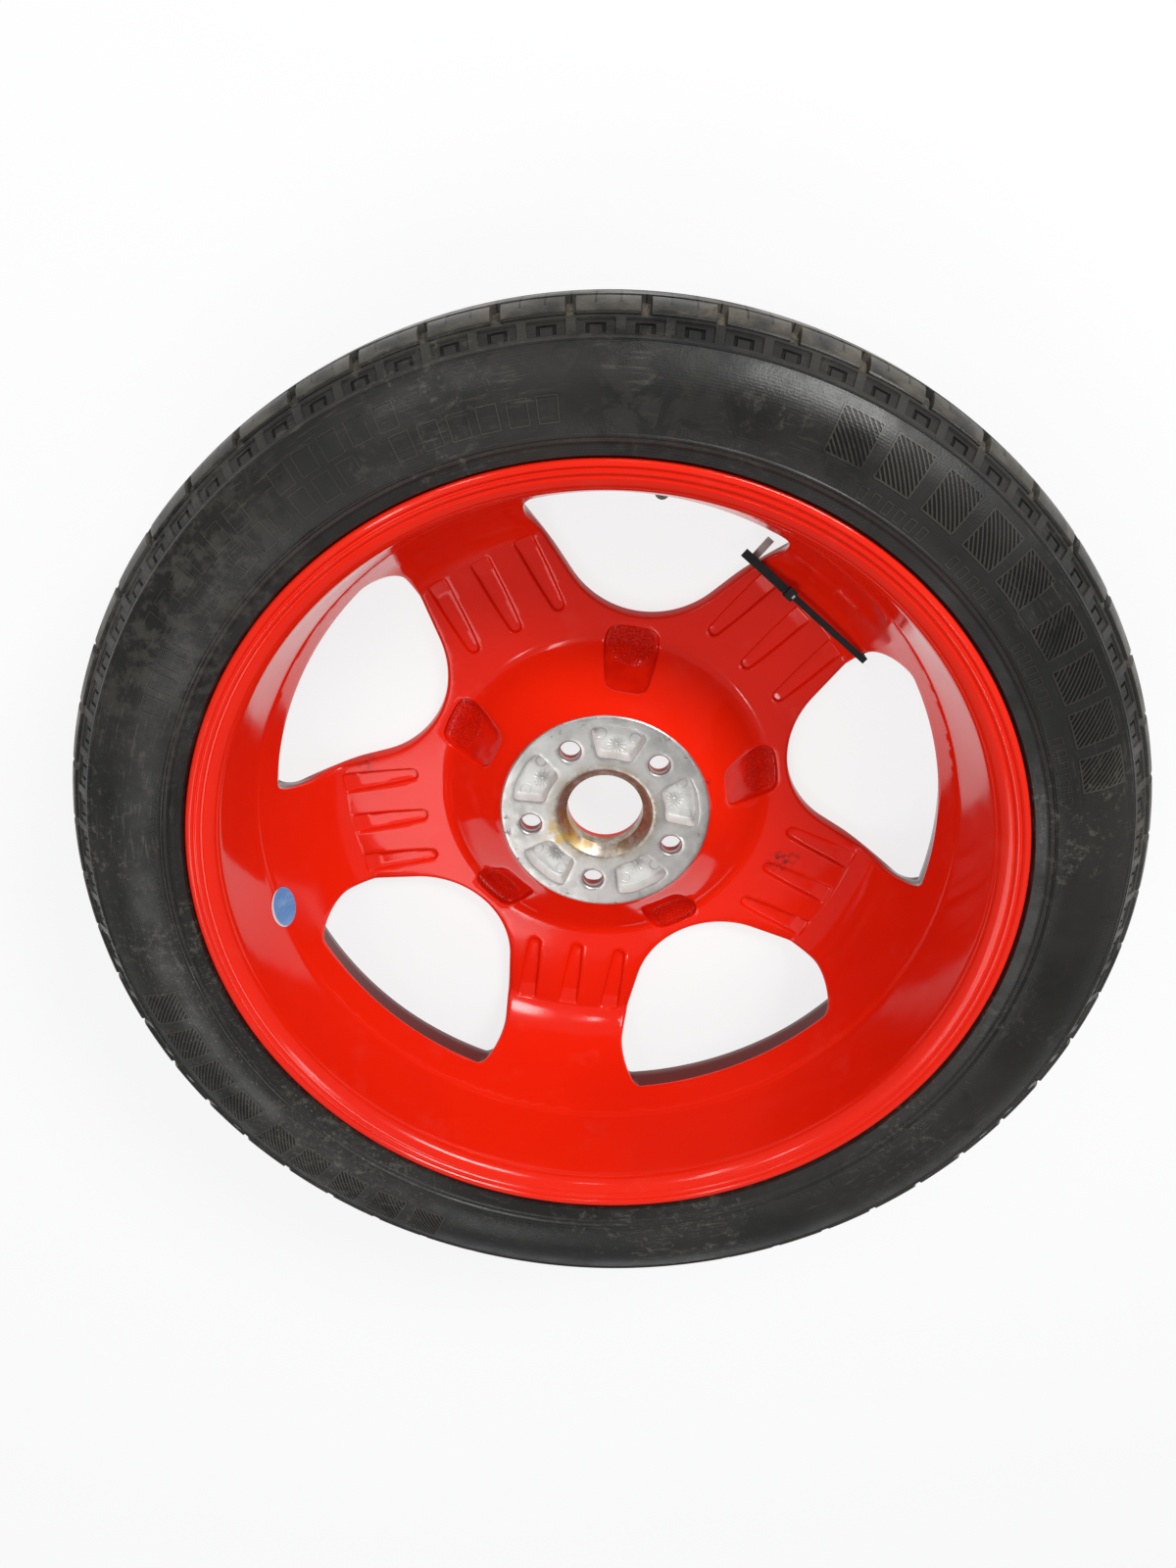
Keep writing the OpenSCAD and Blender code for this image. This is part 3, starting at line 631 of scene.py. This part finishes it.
def back_point(P, drop_n=0.0, drop_z=0.0):
    """Points of the back in space, sunk along its normal and along z."""
    P = np.asarray(P, float)
    u = np.hypot(*P.T)
    r = np.interp(u, BU, BR)
    z = np.interp(u, BU, BZ)
    nr, nz = np.interp(u, BU, BN[:, 0]), np.interp(u, BU, BN[:, 1])
    c, s = P[:, 0] / u, P[:, 1] / u
    r2 = r - drop_n * nr
    return np.stack([r2 * c, r2 * s, z - drop_n * nz - drop_z], 1)


def local(P, deg):
    """Points seen from an angle's own axis, which becomes +x."""
    c, s = math.cos(math.radians(deg)), math.sin(math.radians(deg))
    P = np.asarray(P, float)
    return np.stack([P[:, 0] * c + P[:, 1] * s, -P[:, 0] * s + P[:, 1] * c], 1)


def rounded(q, n=4):
    """An outline from corners given as x, y and the length that each rounding takes."""
    out = []
    for i in range(len(q)):
        a, b, c = np.array(q[i - 1][:2]), np.array(q[i][:2]), np.array(q[(i + 1) % len(q)][:2])
        u = (a - b) / np.linalg.norm(a - b)
        v = (c - b) / np.linalg.norm(c - b)
        r = q[i][2]
        out += [tuple(b + r * u)] + bend(tuple(b + r * u), tuple(b), tuple(b + r * v), n)
    return np.array(out)


# outlines of a hub pocket and of a plate pocket, their own axis along +x
POCKET = resample(rounded([(43.5, -12.5, 4), (66, -21.5, 5), (69.8, -9, 3), (69.8, 9, 3), (66, 21.5, 5),
                           (43.5, 12.5, 4), (45, 0, 2)]), 1.2)
PLATE = resample(rounded([(92, -15.5, 7), (112, -20.0, 8), (124, -21.5, 7), (132.5, -16.5, 6), (133.5, 0, 3),
                          (132.5, 16.5, 6), (124, 21.5, 7), (112, 20.0, 8), (92, 15.5, 7)]), 2.0)


def flute(a0):
    """One tapered groove on a spoke's back, a0 mm to the side of its middle."""
    inner = [(147.2 + 5.2 * math.cos(math.radians(t)), 5.2 * math.sin(math.radians(t)))
             for t in range(90, 271, 15)]
    q = inner + [(160, -6.3), (175, -7.2), (190, -7.7), (200.4, -7.9), (201.6, -6.8),
                 (201.6, 6.8), (200.4, 7.9), (190, 7.7), (175, 7.2), (160, 6.3)]
    return resample([(x, y + a0) for x, y in q], 1.5)


FLUTES = [flute(a) for a in (-35.5, 0.0, 35.5)]
# depth by distance inside the outline, for hub pockets, flutes and plate pockets
WALL = ([-0.5, 0, 0.3, 1.9, 2.6, 3.6], [0, 0.12, 0.6, 9.1, 9.8, 10.0])
SLOT = ([-0.5, 0, 0.4, 1.5, 2.2], [0, 0.2, 0.8, 3.0, 3.3])
DISH = ([-0.6, 0, 0.4, 1.4, 2.2], [0, 0.3, 1.2, 4.1, 4.4])


def relief(P):
    """Depths of pockets, flutes and dimples along the normal and along z, and masks of the two pocket kinds."""
    dz = np.zeros(len(P))
    dn = np.zeros(len(P))
    hub = np.zeros(len(P), bool)
    tray = np.zeros(len(P), bool)
    r = np.hypot(*P.T)
    for deg in GAPS:
        L = local(P, deg)
        k = (r < 80) & (L[:, 0] > 38)
        if k.any():
            s = signed(L[k], POCKET)
            d = np.interp(s, *WALL)
            c = L[k] - (DIMPLE_C, 0)
            rho, phi = np.hypot(*c.T), np.arctan2(c[:, 1], c[:, 0])
            fold = np.abs(((phi / (2 * math.pi) * 12) % 1) * 2 - 1)
            cone = np.clip(1 - rho / (7.0 + 0.9 * fold), 0, 1)
            d = d + cone * 2.6 - 1.2 * (1 - fold) * np.clip(rho / 2.5, 0, 1) * np.clip((7.6 - rho) / 2.0, 0, 1)
            for cy in (-12.5, 12.5):
                ring = np.abs(np.hypot(L[k][:, 0] - 59.5, L[k][:, 1] - cy) - 3.9)
                d = d - 0.6 * np.clip(1 - ring / 0.7, 0, 1) * (s > 3.0)
            dz[k] += d
            hub[k] |= s > 0.2
        k = (r > 74) & (r < 140) & (L[:, 0] > 70)
        if k.any():
            s = signed(L[k], PLATE)
            dn[k] += np.interp(s, *DISH) * np.interp(r[k], [90, 108], [0.5, 1])
            tray[k] |= s > 0.2
    for deg in SPOKES:
        L = local(P, deg)
        k = (L[:, 0] > 138) & (r < 215) & (np.abs(L[:, 1]) < 48)
        if k.any():
            for f in FLUTES:
                s = signed(L[k], f)
                floor_d = np.interp(L[k][:, 0], [142, 148, 189, 190.5, 201.5], [2.4, 3.3, 3.3, 3.1, 1.0])
                dz[k] += np.minimum(np.interp(s, *SLOT), floor_d * np.clip((s + 0.5) / 0.5, 0, 1))
    return dn, dz, hub, tray


def casting():
    """The whole wheel: face, pockets, flutes, windows, barrel, front skin and holes."""
    B = Build()
    red, pad, cast, dark, shaded_tray, shaded_wall = range(6)
    win_back = window(237.6, 0.0)
    win_front = window(251.6, -0.7)
    rad = np.hypot(*win_back.T)
    R = np.interp(rad, [222, 236], [3.2, 1.6])
    base_u = to_u(win_back)
    rings = []
    for k in range(6):
        f = math.radians(90 * (1 - k / 5))
        rings.append((offset(base_u, R * (1 - math.cos(f))), R * (1 - math.sin(f))))
    loops, holes = [], []
    for deg in GAPS:
        q = np.array(turn(rings[0][0], deg - 90))
        loops.append((q, True))
        holes.append(q)
    windows = holes[:]
    bad = lambda p, m: np.max([signed(p, h) for h in windows], axis=0) > -m
    # circles along the section's own corners
    for r, u in zip(BR, BU):
        n = 180 if r < 40 else 240 if r < 80 else 360
        p = circle(u, 3, n)
        if r > 120:
            loops += clip(p, True, bad(p, 1.2))
        else:
            loops.append((p, True))
    for deg in SPOKES:
        c = np.array(turn([(BOLT_C, 0)], deg)[0])
        h = circle(8.7, 1, 44) + c
        loops.append((h, True))
        holes.append(circle(8.6, 1, 44) + c)
        for f in FLUTES:
            for s in (-0.5, 0, 0.4, 1.5, 2.2):
                loops.append((np.array(turn(offset(f[::-1] if area2(f) < 0 else f, -s), deg)), True))
    for deg in GAPS:
        for s in WALL[0]:
            loops.append((np.array(turn(offset(POCKET if area2(POCKET) > 0 else POCKET[::-1], -s), deg)), True))
        for rr in (1.2, 2.4, 3.8, 5.2, 6.4, 7.3, 8.1):
            loops.append((np.array(turn(circle(rr, 1, 24 if rr < 2 else 48) + (DIMPLE_C, 0), deg)), True))
        for cy in (-12.5, 12.5):
            for rr in (3.2, 3.9, 4.6):
                loops.append((np.array(turn(circle(rr, 1, 20) + (59.5, cy), deg)), True))
        for s in DISH[0]:
            loops.append((np.array(turn(offset(PLATE if area2(PLATE) > 0 else PLATE[::-1], -s), deg)), True))
    fine = []
    for deg in SPOKES:
        fine.append(np.array(turn(hexgrid(138, 206, -46, 46, 2.6), deg)))
    coarse = hexgrid(-BU[-1], BU[-1], -BU[-1], BU[-1], 4.2)
    rr = np.hypot(*coarse.T)
    coarse = coarse[(rr > 30) & (rr < BU[-1] - 1.5) & ~bad(coarse, 1.2)]
    hubfill = hexgrid(-78, 78, -78, 78, 2.2)
    hubfill = hubfill[(np.hypot(*hubfill.T) < 77) & (np.hypot(*hubfill.T) > 37)]
    fills = [(np.vstack(fine), 2.6), (hubfill, 2.2), (coarse, 4.2)]
    P, F = triangulate(loops, fills, holes, BU[0] - 0.01, BU[-1] + 0.01)
    dn, dz, hub, tray = relief(P)
    X = back_point(P, dn, dz)
    rc = np.hypot(*P[F].mean(1).T)
    # painted shade: the plate pockets' faces take the darker pocket red
    mats = np.where(rc < FACE_R, np.where(hub[F].all(1), cast, pad), np.where(tray[F].all(1), shaded_tray, red))
    B.add(X, F.tolist(), [int(v) for v in mats])
    # barrel, flange, tyre side and outboard lip, one revolve
    n = 360
    side = ([(244, 45), (244.55, 45.7), (245.0, 47.2), (245.6, 52), (246.4, 58), (248.4, 76),
             (250.4, 93), (251.2, 100)]
            + bend((251.2, 100), (252.0, 109), (258.5, 111.9), 8)
            # two shallow grooves on the flange
            + [(259.6, 112.5), (260.4, 111.9), (261.3, 112.0), (262.0, 113.3), (263.0, 114.1),
               (263.9, 114.2), (264.5, 113.3), (265.4, 113.2), (266.1, 114.4), (266.9, 115)]
            + bend((267.5, 115), (271, 115), (271, 112.2), 6)
            + [(271, 111)] + bend((271, 111), (271, 104.1), (261.4, 104), 6)
            + [(256.4, 104), (256.4, 85), (251.9, 58), (249.6, 45), (243.2, 25), (243.2, 20), (256.4, 8.7),
               (256.4, -10.3), (261.4, -10.3)]
            + bend((261.4, -10.3), (271, -10.3), (271, -17.3), 6)
            + bend((271, -17.3), (271, -21.3), (266, -21.3), 5) + [(258.4, -20.8)])
    a = np.arange(n) * 2 * math.pi / n
    B.grid([[(r * math.cos(t), r * math.sin(t), z) for t in a] for r, z in side], red)
    # front skin
    fr = ([(30.05, -25), (71, -25)] + bend((71, -25), (73.5, -25), (76, -27), 3) + [(105.8, -49)]
          + bend((105.8, -49), (111.8, -56), (119.8, -56), 5) + [(190, -56)]
          + bend((190, -56), (203, -56), (231.6, -35.5), 6) + [(250.8, -16.3), (253.4, -17.6), (258.4, -20.8)])
    FR, FZ = np.array([p[0] for p in fr]), np.array([p[1] for p in fr])
    f_rings = []
    for k in range(4):
        f = math.radians(90 * (1 - k / 3))
        f_rings.append((offset(win_front, 2.4 * (1 - math.cos(f))), 2.4 * (1 - math.sin(f))))
    loops, holes = [], []
    for deg in GAPS:
        q = np.array(turn(f_rings[0][0], deg - 90))
        loops.append((q, True))
        holes.append(q)
    front_windows = holes[:]
    badf = lambda p, m: np.max([signed(p, h) for h in front_windows], axis=0) > -m
    for r in FR:
        p = circle(r, 3, 180 if r < 40 else 96 if r < 80 else 240 if r < 200 else 360)
        loops += clip(p, True, badf(p, 1.5)) if r > 120 and r < 258 else [(p, True)]
    for deg in SPOKES:
        c = np.array(turn([(BOLT_C, 0)], deg)[0])
        loops.append((circle(14.5, 1, 44) + c, True))
        holes.append(circle(14.4, 1, 44) + c)
    g = hexgrid(-258, 258, -258, 258, 7)
    rr = np.hypot(*g.T)
    g = g[(rr > 32) & (rr < 256) & ~badf(g, 2)]
    P, F = triangulate(loops, [(g, 7)], holes, 30.04, 258.41)
    z = np.interp(np.hypot(*P.T), FR, FZ)
    B.add(np.column_stack([P, z]), F[:, ::-1].tolist(), red)
    # window edges and walls
    t = np.linspace(0, 1, 5)
    for deg in GAPS:
        rows = []
        for q, d in rings:
            rows.append(back_point(np.array(turn(q, deg - 90)), d))
        lo_q, lo_d = f_rings[-1]
        q = np.array(turn(lo_q, deg - 90))
        zf = np.interp(np.hypot(*q.T), FR, FZ) + lo_d
        lo = np.column_stack([q, zf])
        top = rows[-1]
        outer = np.interp(rad, [230, 236.5], [0, 1])
        for k in t[1:-1]:
            p = top + (lo - top) * k
            r = np.hypot(p[:, 0], p[:, 1])
            want = np.interp(p[:, 2], [-16.5, -5, 18], [251.0, 244.0, 239.4])
            p[:, :2] *= (1 + outer * (want / r - 1))[:, None]
            rows.append(p)
        rows.append(lo)
        for q, d in f_rings[-2::-1]:
            q = np.array(turn(q, deg - 90))
            rows.append(np.column_stack([q, np.interp(np.hypot(*q.T), FR, FZ) + d]))
        # painted shade: the walls' middle rows take the red with the darkened outer wall
        B.grid([[tuple(p) for p in r] for r in rows], lambda i, j: shaded_wall if 4 <= i < 10 else red)
    # bolt holes with their ball seats
    seat = -12 - math.sqrt(SEAT_R ** 2 - BOLT_R ** 2)
    ball = [(math.sqrt(SEAT_R ** 2 - (z - seat) ** 2), z) for z in np.linspace(-12, seat, 7)]
    hole = ([(8.7, 0), (8.45, -0.12), (7.75, -0.85), (BOLT_R, -1.1), (BOLT_R, -6), (BOLT_R, -12)]
            + ball[1:] + [(SEAT_R, -24.6), (14.15, -24.9), (14.5, -25)])
    for deg in SPOKES:
        c = turn([(BOLT_C, 0)], deg)[0]
        rows = [[(x + c[0], y + c[1], z) for x, y in circle(r, 1, 44)] for r, z in hole]
        B.grid(rows, lambda i, j: pad if i < 4 else dark)
    # the centre bore
    bore = ((BORE_R, -7.3), (BORE_R, -8.5), (BORE_R, -18), (BORE_R, -23.5), (30.05, -25))
    rows = [[(x, y, z) for x, y in circle(r, 1, 180)] for r, z in bore]
    B.grid(rows, lambda i, j: pad if i < 2 else red)
    return B.make("casting", [RED, PAD, CAST, DARK_RED, SHADED_TRAY_RED, SHADED_WALL_RED], sharp=36)


def area2(q):
    """Twice the outline's area, positive when it runs counter-clockwise."""
    q = np.asarray(q)
    return float(np.sum(q[:, 0] * np.roll(q[:, 1], -1) - np.roll(q[:, 0], -1) * q[:, 1]))


def cut_valve_seat(ob):
    """Takes the valve's hole and its two round seats out of the casting."""
    spot, hole, web = 8.5, 5.75, VALVE_WEB
    prof = [(spot, -14), (spot, 0), (hole, 0), (hole, web), (spot, web), (spot, web + 24)]
    bm = bmesh.new()
    n = 48
    turns = [2 * math.pi * k / n for k in range(n)]
    rows = [[bm.verts.new((r * MM * math.cos(t), r * MM * math.sin(t), z * MM)) for t in turns]
            for r, z in prof]
    for a, b in zip(rows, rows[1:]):
        for k in range(n):
            bm.faces.new((a[k], a[(k + 1) % n], b[(k + 1) % n], b[k]))
    bm.faces.new(rows[0][::-1])
    bm.faces.new(rows[-1])
    bmesh.ops.recalc_face_normals(bm, faces=bm.faces)
    az = math.radians(GAPS[0])
    place = (Matrix.Rotation(az, 4, "Z") @ Matrix.Translation((VALVE_R * MM, 0, VALVE_Z * MM))
             @ Matrix.Rotation(math.radians(180 + VALVE_TILT), 4, "Y"))
    bmesh.ops.transform(bm, matrix=place, verts=bm.verts)
    me = bpy.data.meshes.new("valve_cutter")
    bm.to_mesh(me)
    bm.free()
    me.materials.append(RED)
    cutter = bpy.data.objects.new("valve_cutter", me)
    scene.collection.objects.link(cutter)
    mod = ob.modifiers.new("valve_seat", "BOOLEAN")
    mod.operation = "DIFFERENCE"
    mod.solver = "EXACT"
    mod.object = cutter
    done = bpy.data.meshes.new_from_object(ob.evaluated_get(bpy.context.evaluated_depsgraph_get()))
    ob.modifiers.clear()
    ob.data = done
    bpy.data.objects.remove(cutter)
    done.polygons.foreach_set("use_smooth", [True] * len(done.polygons))
    done.set_sharp_from_angle(angle=math.radians(36))


wheel = casting()
cut_valve_seat(wheel)
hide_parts("wheel")


# ---------------------------------------------------------------- the tyre
# the plain sidewall's section, radius and height from the middle plane
SIDE_WALL = [(284.6, 74.2), (290, 75.7), (297, 76.7), (305, 77.0), (313, 76.1), (320, 74.2), (327, 71.4),
             (330.4, 69.8)]
WR, WY = np.array(spline(SIDE_WALL, 8)).T
WS = np.r_[0, np.cumsum(np.hypot(np.diff(WR), np.diff(WY)))]


def skin(v, deg, u, lift):
    """A point v mm up the sidewall from its foot at r 284.6 and u mm round from an angle, raised off it."""
    r, y = np.interp(v, WS, WR), np.interp(v, WS, WY)
    e = 0.4
    dr = np.interp(v + e, WS, WR) - np.interp(v - e, WS, WR)
    dy = np.interp(v + e, WS, WY) - np.interp(v - e, WS, WY)
    k = math.hypot(dr, dy)
    a = math.radians(deg) + u / 305.0
    r2, y2 = r - lift * dy / k, y + lift * dr / k
    return (r2 * math.cos(a), r2 * math.sin(a), MID + y2)


def rib(B, deg, a, b, w, h, mat):
    """A raised rib on the sidewall from (u, v) to (u, v)."""
    a, b = np.array(a, float), np.array(b, float)
    d = (b - a) / np.hypot(*(b - a))
    n = np.array([-d[1], d[0]])
    k = max(2, int(np.hypot(*(b - a)) / 4) + 1)
    rows = []
    for i in range(-1, k + 2):
        t = min(max(i, 0), k) / k
        q = a + (b - a) * t
        low = i in (-1, k + 1)
        row = []
        for s, z in ((-0.5, -0.12), (-0.32, h), (0.32, h), (0.5, -0.12)):
            c = q + n * s * w + (d * (0.2 if i > 0 else -0.2) if low else 0)
            row.append(skin(c[1], deg, c[0], -0.12 if low else z))
        rows.append(row)
    B.grid(rows, mat, closed=False)


def marks(B, mat):
    """Plain hatched blocks and bare frames where the sidewall's lettering stands."""
    starts = (65.2, 59.3, 53.2, 47.2, 41.6, 34.6, 28.8, 23.2, 17.4)
    for deg in starts + tuple(d + 180 for d in starts):
        w, v0, v1 = 11.5, 15.0, 41.0
        # painted shade on the block's ground, which takes the darker rubber; painted highlight on the ribs,
        # which take the lighter
        B.grid([[skin(v, deg, u, 0.06) for u in np.linspace(-w, w, 7)] for v in np.linspace(v0, v1, 11)],
               mat - 1, closed=False)
        for u in (-w, w):
            rib(B, deg, (u, v0), (u, v1), 1.3, 0.4, mat)
        for v in (v0, v1):
            rib(B, deg, (-w, v), (w, v), 1.3, 0.4, mat)
        c = -w - (v1 - v0) + 3.0
        while c < w:
            # hatch line u = c + (v - v0), cut to the block
            t0, t1 = max(0.0, -w - c), min(v1 - v0, w - c)
            if t1 - t0 > 2.5:
                rib(B, deg, (c + t0, v0 + t0), (c + t1, v0 + t1), 1.3, 0.35, mat)
            c += 3.4
    for i in range(31):
        if i % 8 in (6, 7):
            continue
        deg = 61.5 - i * 1.62
        for u in (-2.2, 2.2):
            rib(B, deg, (u, 1.5), (u, 8.5), 0.8, 0.42, mat)
        for v in (1.5, 8.5):
            rib(B, deg, (-2.2, v), (2.2, v), 0.8, 0.42, mat)
    rows = ((24.0, 38.0, 5.6, 3.1, 112, 150), (7.0, 21.0, 5.6, 3.1, 96, 157))
    for row, (v0, v1, w, step, lo, hi) in enumerate(rows):
        deg, i = lo, 0
        while deg < hi:
            if i % 7 != 5 + row % 2:
                for u in (-w, w):
                    rib(B, deg, (u, v0), (u, v1), 0.9, 0.42, mat)
                for v in (v0, v1):
                    rib(B, deg, (-w, v), (w, v), 0.9, 0.42, mat)
            deg += step
            i += 1
    ticks = ((170, 236, 0.95, 3.0, 6.0), (252, 286, 1.25, 3.0, 7.5), (300, 331, 1.1, 3.0, 6.0))
    for lo, hi, step, v0, v1 in ticks:
        deg, i = lo, 0
        while deg < hi:
            if i % 9 < 7:
                rib(B, deg, (-1.2, v0), (1.2, v1), 0.7, 0.38, mat)
                rib(B, deg, (1.2, v0), (-1.2, v0 + 0.1), 0.7, 0.38, mat)
            deg += step
            i += 1


def tyre():
    """Skin from one bead over the tread to the other, in bands with their own column spacing."""
    B = Build()
    rub, trd, mud = 0, 1, 2
    rep = 27
    span = 360 / rep

    def ring(cols, r, y, side):
        return [(r * math.cos(math.radians(c)), r * math.sin(math.radians(c)), MID + side * y) for c in cols]

    # plain sidewall
    wall = ([(256.6, 40.2), (256.4, 57.15), (261.9, 57.15)]
            + bend((261.9, 57.15), (271.5, 57.15), (271.5, 64.15), 5)
            + [(271.5, 66.6), (272.6, 69.2), (275.0, 70.3), (277.8, 71.6), (279.2, 72.2),
               (280.2, 73.3), (282.2, 73.9), (282.8, 74.7), (283.6, 74.8), (284.2, 74.3)]
            + spline(SIDE_WALL, 3)
            + [(331.0, 70.1), (331.8, 70.0), (332.4, 69.0), (332.9, 68.4)])
    cols = np.linspace(0, 360, 361)[:-1]
    for side in (1, -1):
        B.grid([ring(cols, r, y, side) for r, y in wall], rub)

    # framed band: raised bars, sunk panels and a small engraved arch in each
    half_bar, edge = 0.44, 0.09
    c0 = []
    for k in range(3):
        b = k * span / 3
        c0 += [b - half_bar - edge, b - half_bar, b + half_bar, b + half_bar + edge]
        mid = b + span / 6
        c0 += [mid + d for d in (-0.92, -0.86, -0.62, -0.56, 0, 0.56, 0.62, 0.86, 0.92)]
        c0 += [b + 0.9, b + span / 3 - 0.9]
    c0 = sorted(set(round(c % span, 4) for c in c0))
    cols = np.array([c + i * span for i in range(rep) for c in c0])
    ph = (cols % (span / 3))
    ph = np.minimum(ph, span / 3 - ph)
    sunk = np.clip((ph - half_bar) / edge, 0, 1)
    mid_d = np.abs((cols % (span / 3)) - span / 6)
    leg = np.clip(np.minimum((mid_d - 0.56) / 0.06, (0.92 - mid_d) / 0.06), 0, 1)
    arch = np.clip((0.92 - mid_d) / 0.06, 0, 1)
    # painted highlight on the band's raised parts, painted shade in the engraved arch and its legs
    highlit, shaded = 3, 4
    # radius, height from the middle, and whether the panel, the arch's legs and its top are sunk there
    line = [(332.9, 68.4, 0, 0, 0), (333.6, 67.8, 0, 0, 0), (333.9, 67.5, 1, 0, 0), (334.6, 66.9, 1, 0, 0),
            (334.8, 66.7, 1, 1, 0), (338.3, 63.2, 1, 1, 0), (338.6, 62.9, 1, 1, 1), (339.4, 62.0, 1, 1, 1),
            (339.7, 61.7, 1, 0, 0), (341.2, 60.2, 1, 0, 0), (341.5, 59.9, 0, 0, 0), (342.4, 59.0, 0, 0, 0)]
    for side in (1, -1):
        rows = []
        for r, y, s, l, t in line:
            row = []
            for c, sk, lg, ar in zip(cols, sunk, leg, arch):
                d = 1.0 * sk * s + 0.9 * (lg * l if not t else ar)
                rr, yy = r - 0.68 * d, y - 0.73 * d
                row.append((rr * math.cos(math.radians(c)), rr * math.sin(math.radians(c)), MID + side * yy))
            rows.append(row)
        nb = len(cols)

        def band(i, j, nb=nb):
            k = (j + 1) % nb
            if min(sunk[j], sunk[k]) < 0.5:
                return highlit
            s, l, t = line[i][2] * line[i + 1][2], line[i][3] * line[i + 1][3], line[i][4] * line[i + 1][4]
            if (t and min(arch[j], arch[k]) > 0.5) or (l and not t and min(leg[j], leg[k]) > 0.5):
                return shaded
            return rub if s else highlit
        B.grid(rows, band)

    # tread: shoulder notches and four grooves; the material cuts its sipes
    nrep = 54
    sp = 360 / nrep
    nh = math.degrees(2.7 / 350)
    c1 = ([0, nh * 0.5, nh * 0.86, nh, nh * 1.12] + list(np.linspace(nh * 1.12, sp - nh * 1.12, 7)[1:-1])
          + [sp - nh * 1.12, sp - nh, sp - nh * 0.86, sp - nh * 0.5])
    cols = np.array([c + i * sp for i in range(nrep) for c in c1])
    q = np.minimum(cols % sp, sp - cols % sp) / nh
    notch = np.clip((1.12 - q) / 0.26, 0, 1)
    crown = ([(342.4, 59.0), (342.9, 58.6), (343.4, 58.9), (344.6, 58.5)]
             + spline([(345.2, 57.9), (347.8, 54.0), (350.0, 49.6), (351.3, 45.5), (351.8, 43.6)], 2))
    mid_rows = [43.3, 43.0, 37.6, 37.3, 33, 27, 21, 17.2, 16.9, 11.0, 10.7, 5.5, 0]
    surf = lambda y: CROWN - 3.0 * (abs(y) / 44.0) ** 2.4
    for side in (1, -1):
        rows, tags = [], []
        for k, (r, y) in enumerate(crown):
            depth = np.interp(k, [0, 1, 2, 4, len(crown) - 1], [0.0, 0.6, 2.2, 3.8, 4.6])
            row = []
            for c, nn in zip(cols, notch):
                d = depth * nn
                rr, yy = r - d * 0.93, y - d * 0.3 * (k < 5)
                row.append((rr * math.cos(math.radians(c)), rr * math.sin(math.radians(c)), MID + side * yy))
            rows.append(row)
            tags.append(0 if k < 3 else 1)
        for y in mid_rows:
            g = (37.6 <= y <= 43.0) or (11.0 <= y <= 16.9)
            row = []
            for c, nn in zip(cols, notch):
                d = 4.6 if g else 0.0
                if y in (43.3,):
                    d = max(d, 4.6 * nn)
                rr = surf(y) - d
                row.append((rr * math.cos(math.radians(c)), rr * math.sin(math.radians(c)), MID + side * y))
            rows.append(row)
            tags.append(2 if g else 1)
        m = len(cols)

        def pick(i, j, tags=tags, m=m):
            inside = notch[j] > 0.5 and notch[(j + 1) % m] > 0.5 and 2 < i < len(crown)
            if inside or (tags[i] == 2 and tags[i + 1] == 2):
                return mud
            return trd if i >= 3 else rub
        B.grid(rows, pick)
    marks(B, 5)
    return B.make("tyre_skin", [RUBBER, TREAD, MUD, LIT_BAND_RUBBER, SHADED_RECESS_RUBBER, LIT_RIB_RUBBER], sharp=28, merge=0.004)


tyre_ob = tyre()
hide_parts("tyre")


# ---------------------------------------------------------------- carried-over CAD nodes
for name, mat in (("valve_rubber", VALVE), ("valve_stem", BRASS), ("core_plug", BRASS), ("core_seal", SEAL),
                  ("core_tube", BRASS), ("core_pin", STEEL), ("core_cup", BRASS), ("core_cup_seal", SEAL),
                  ("core_spring", STEEL), ("valve_cap", CAP), ("cap_seal", VALVE), ("tie_strap", BLACK),
                  ("tie_pawl", STEEL), ("tie_tag", GREY_FILM)):
    for s in nodes[name].material_slots:
        s.material = mat


def blue_label():
    """Faded blue film with a pale edge on the side that has lifted."""
    t = Mat("blue_label", (0.085, 0.32, 0.68), 0.42)
    t.tint(t.ramp(t.noise(70, 5, 0.7, stretch=(1, 1, 0.25)), 0.42, 0.62, 0, 0.8), (0.24, 0.50, 0.80))
    t.tint(t.math("MULTIPLY", t.ramp(t.noise(500, 4), 0.55, 0.7), 0.4), (0.03, 0.12, 0.38))
    # the pale edge where the label has lifted, on its outer side
    lo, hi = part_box("sticker")
    mid = tuple((a + b) / 2 for a, b in zip(lo, hi))
    rim = t.math("SUBTRACT", 1.0, t.near((mid[0] + 0.0006, mid[1] - 0.0002, mid[2] - 0.0022), 0.0145, 0.0151))
    t.tint(rim, (0.78, 0.80, 0.82))
    t.bump([(t.noise(200, 4), 0.25, 0.0006)])
    return t.m


LABEL = blue_label()
for s in nodes["sticker"].material_slots:
    s.material = LABEL
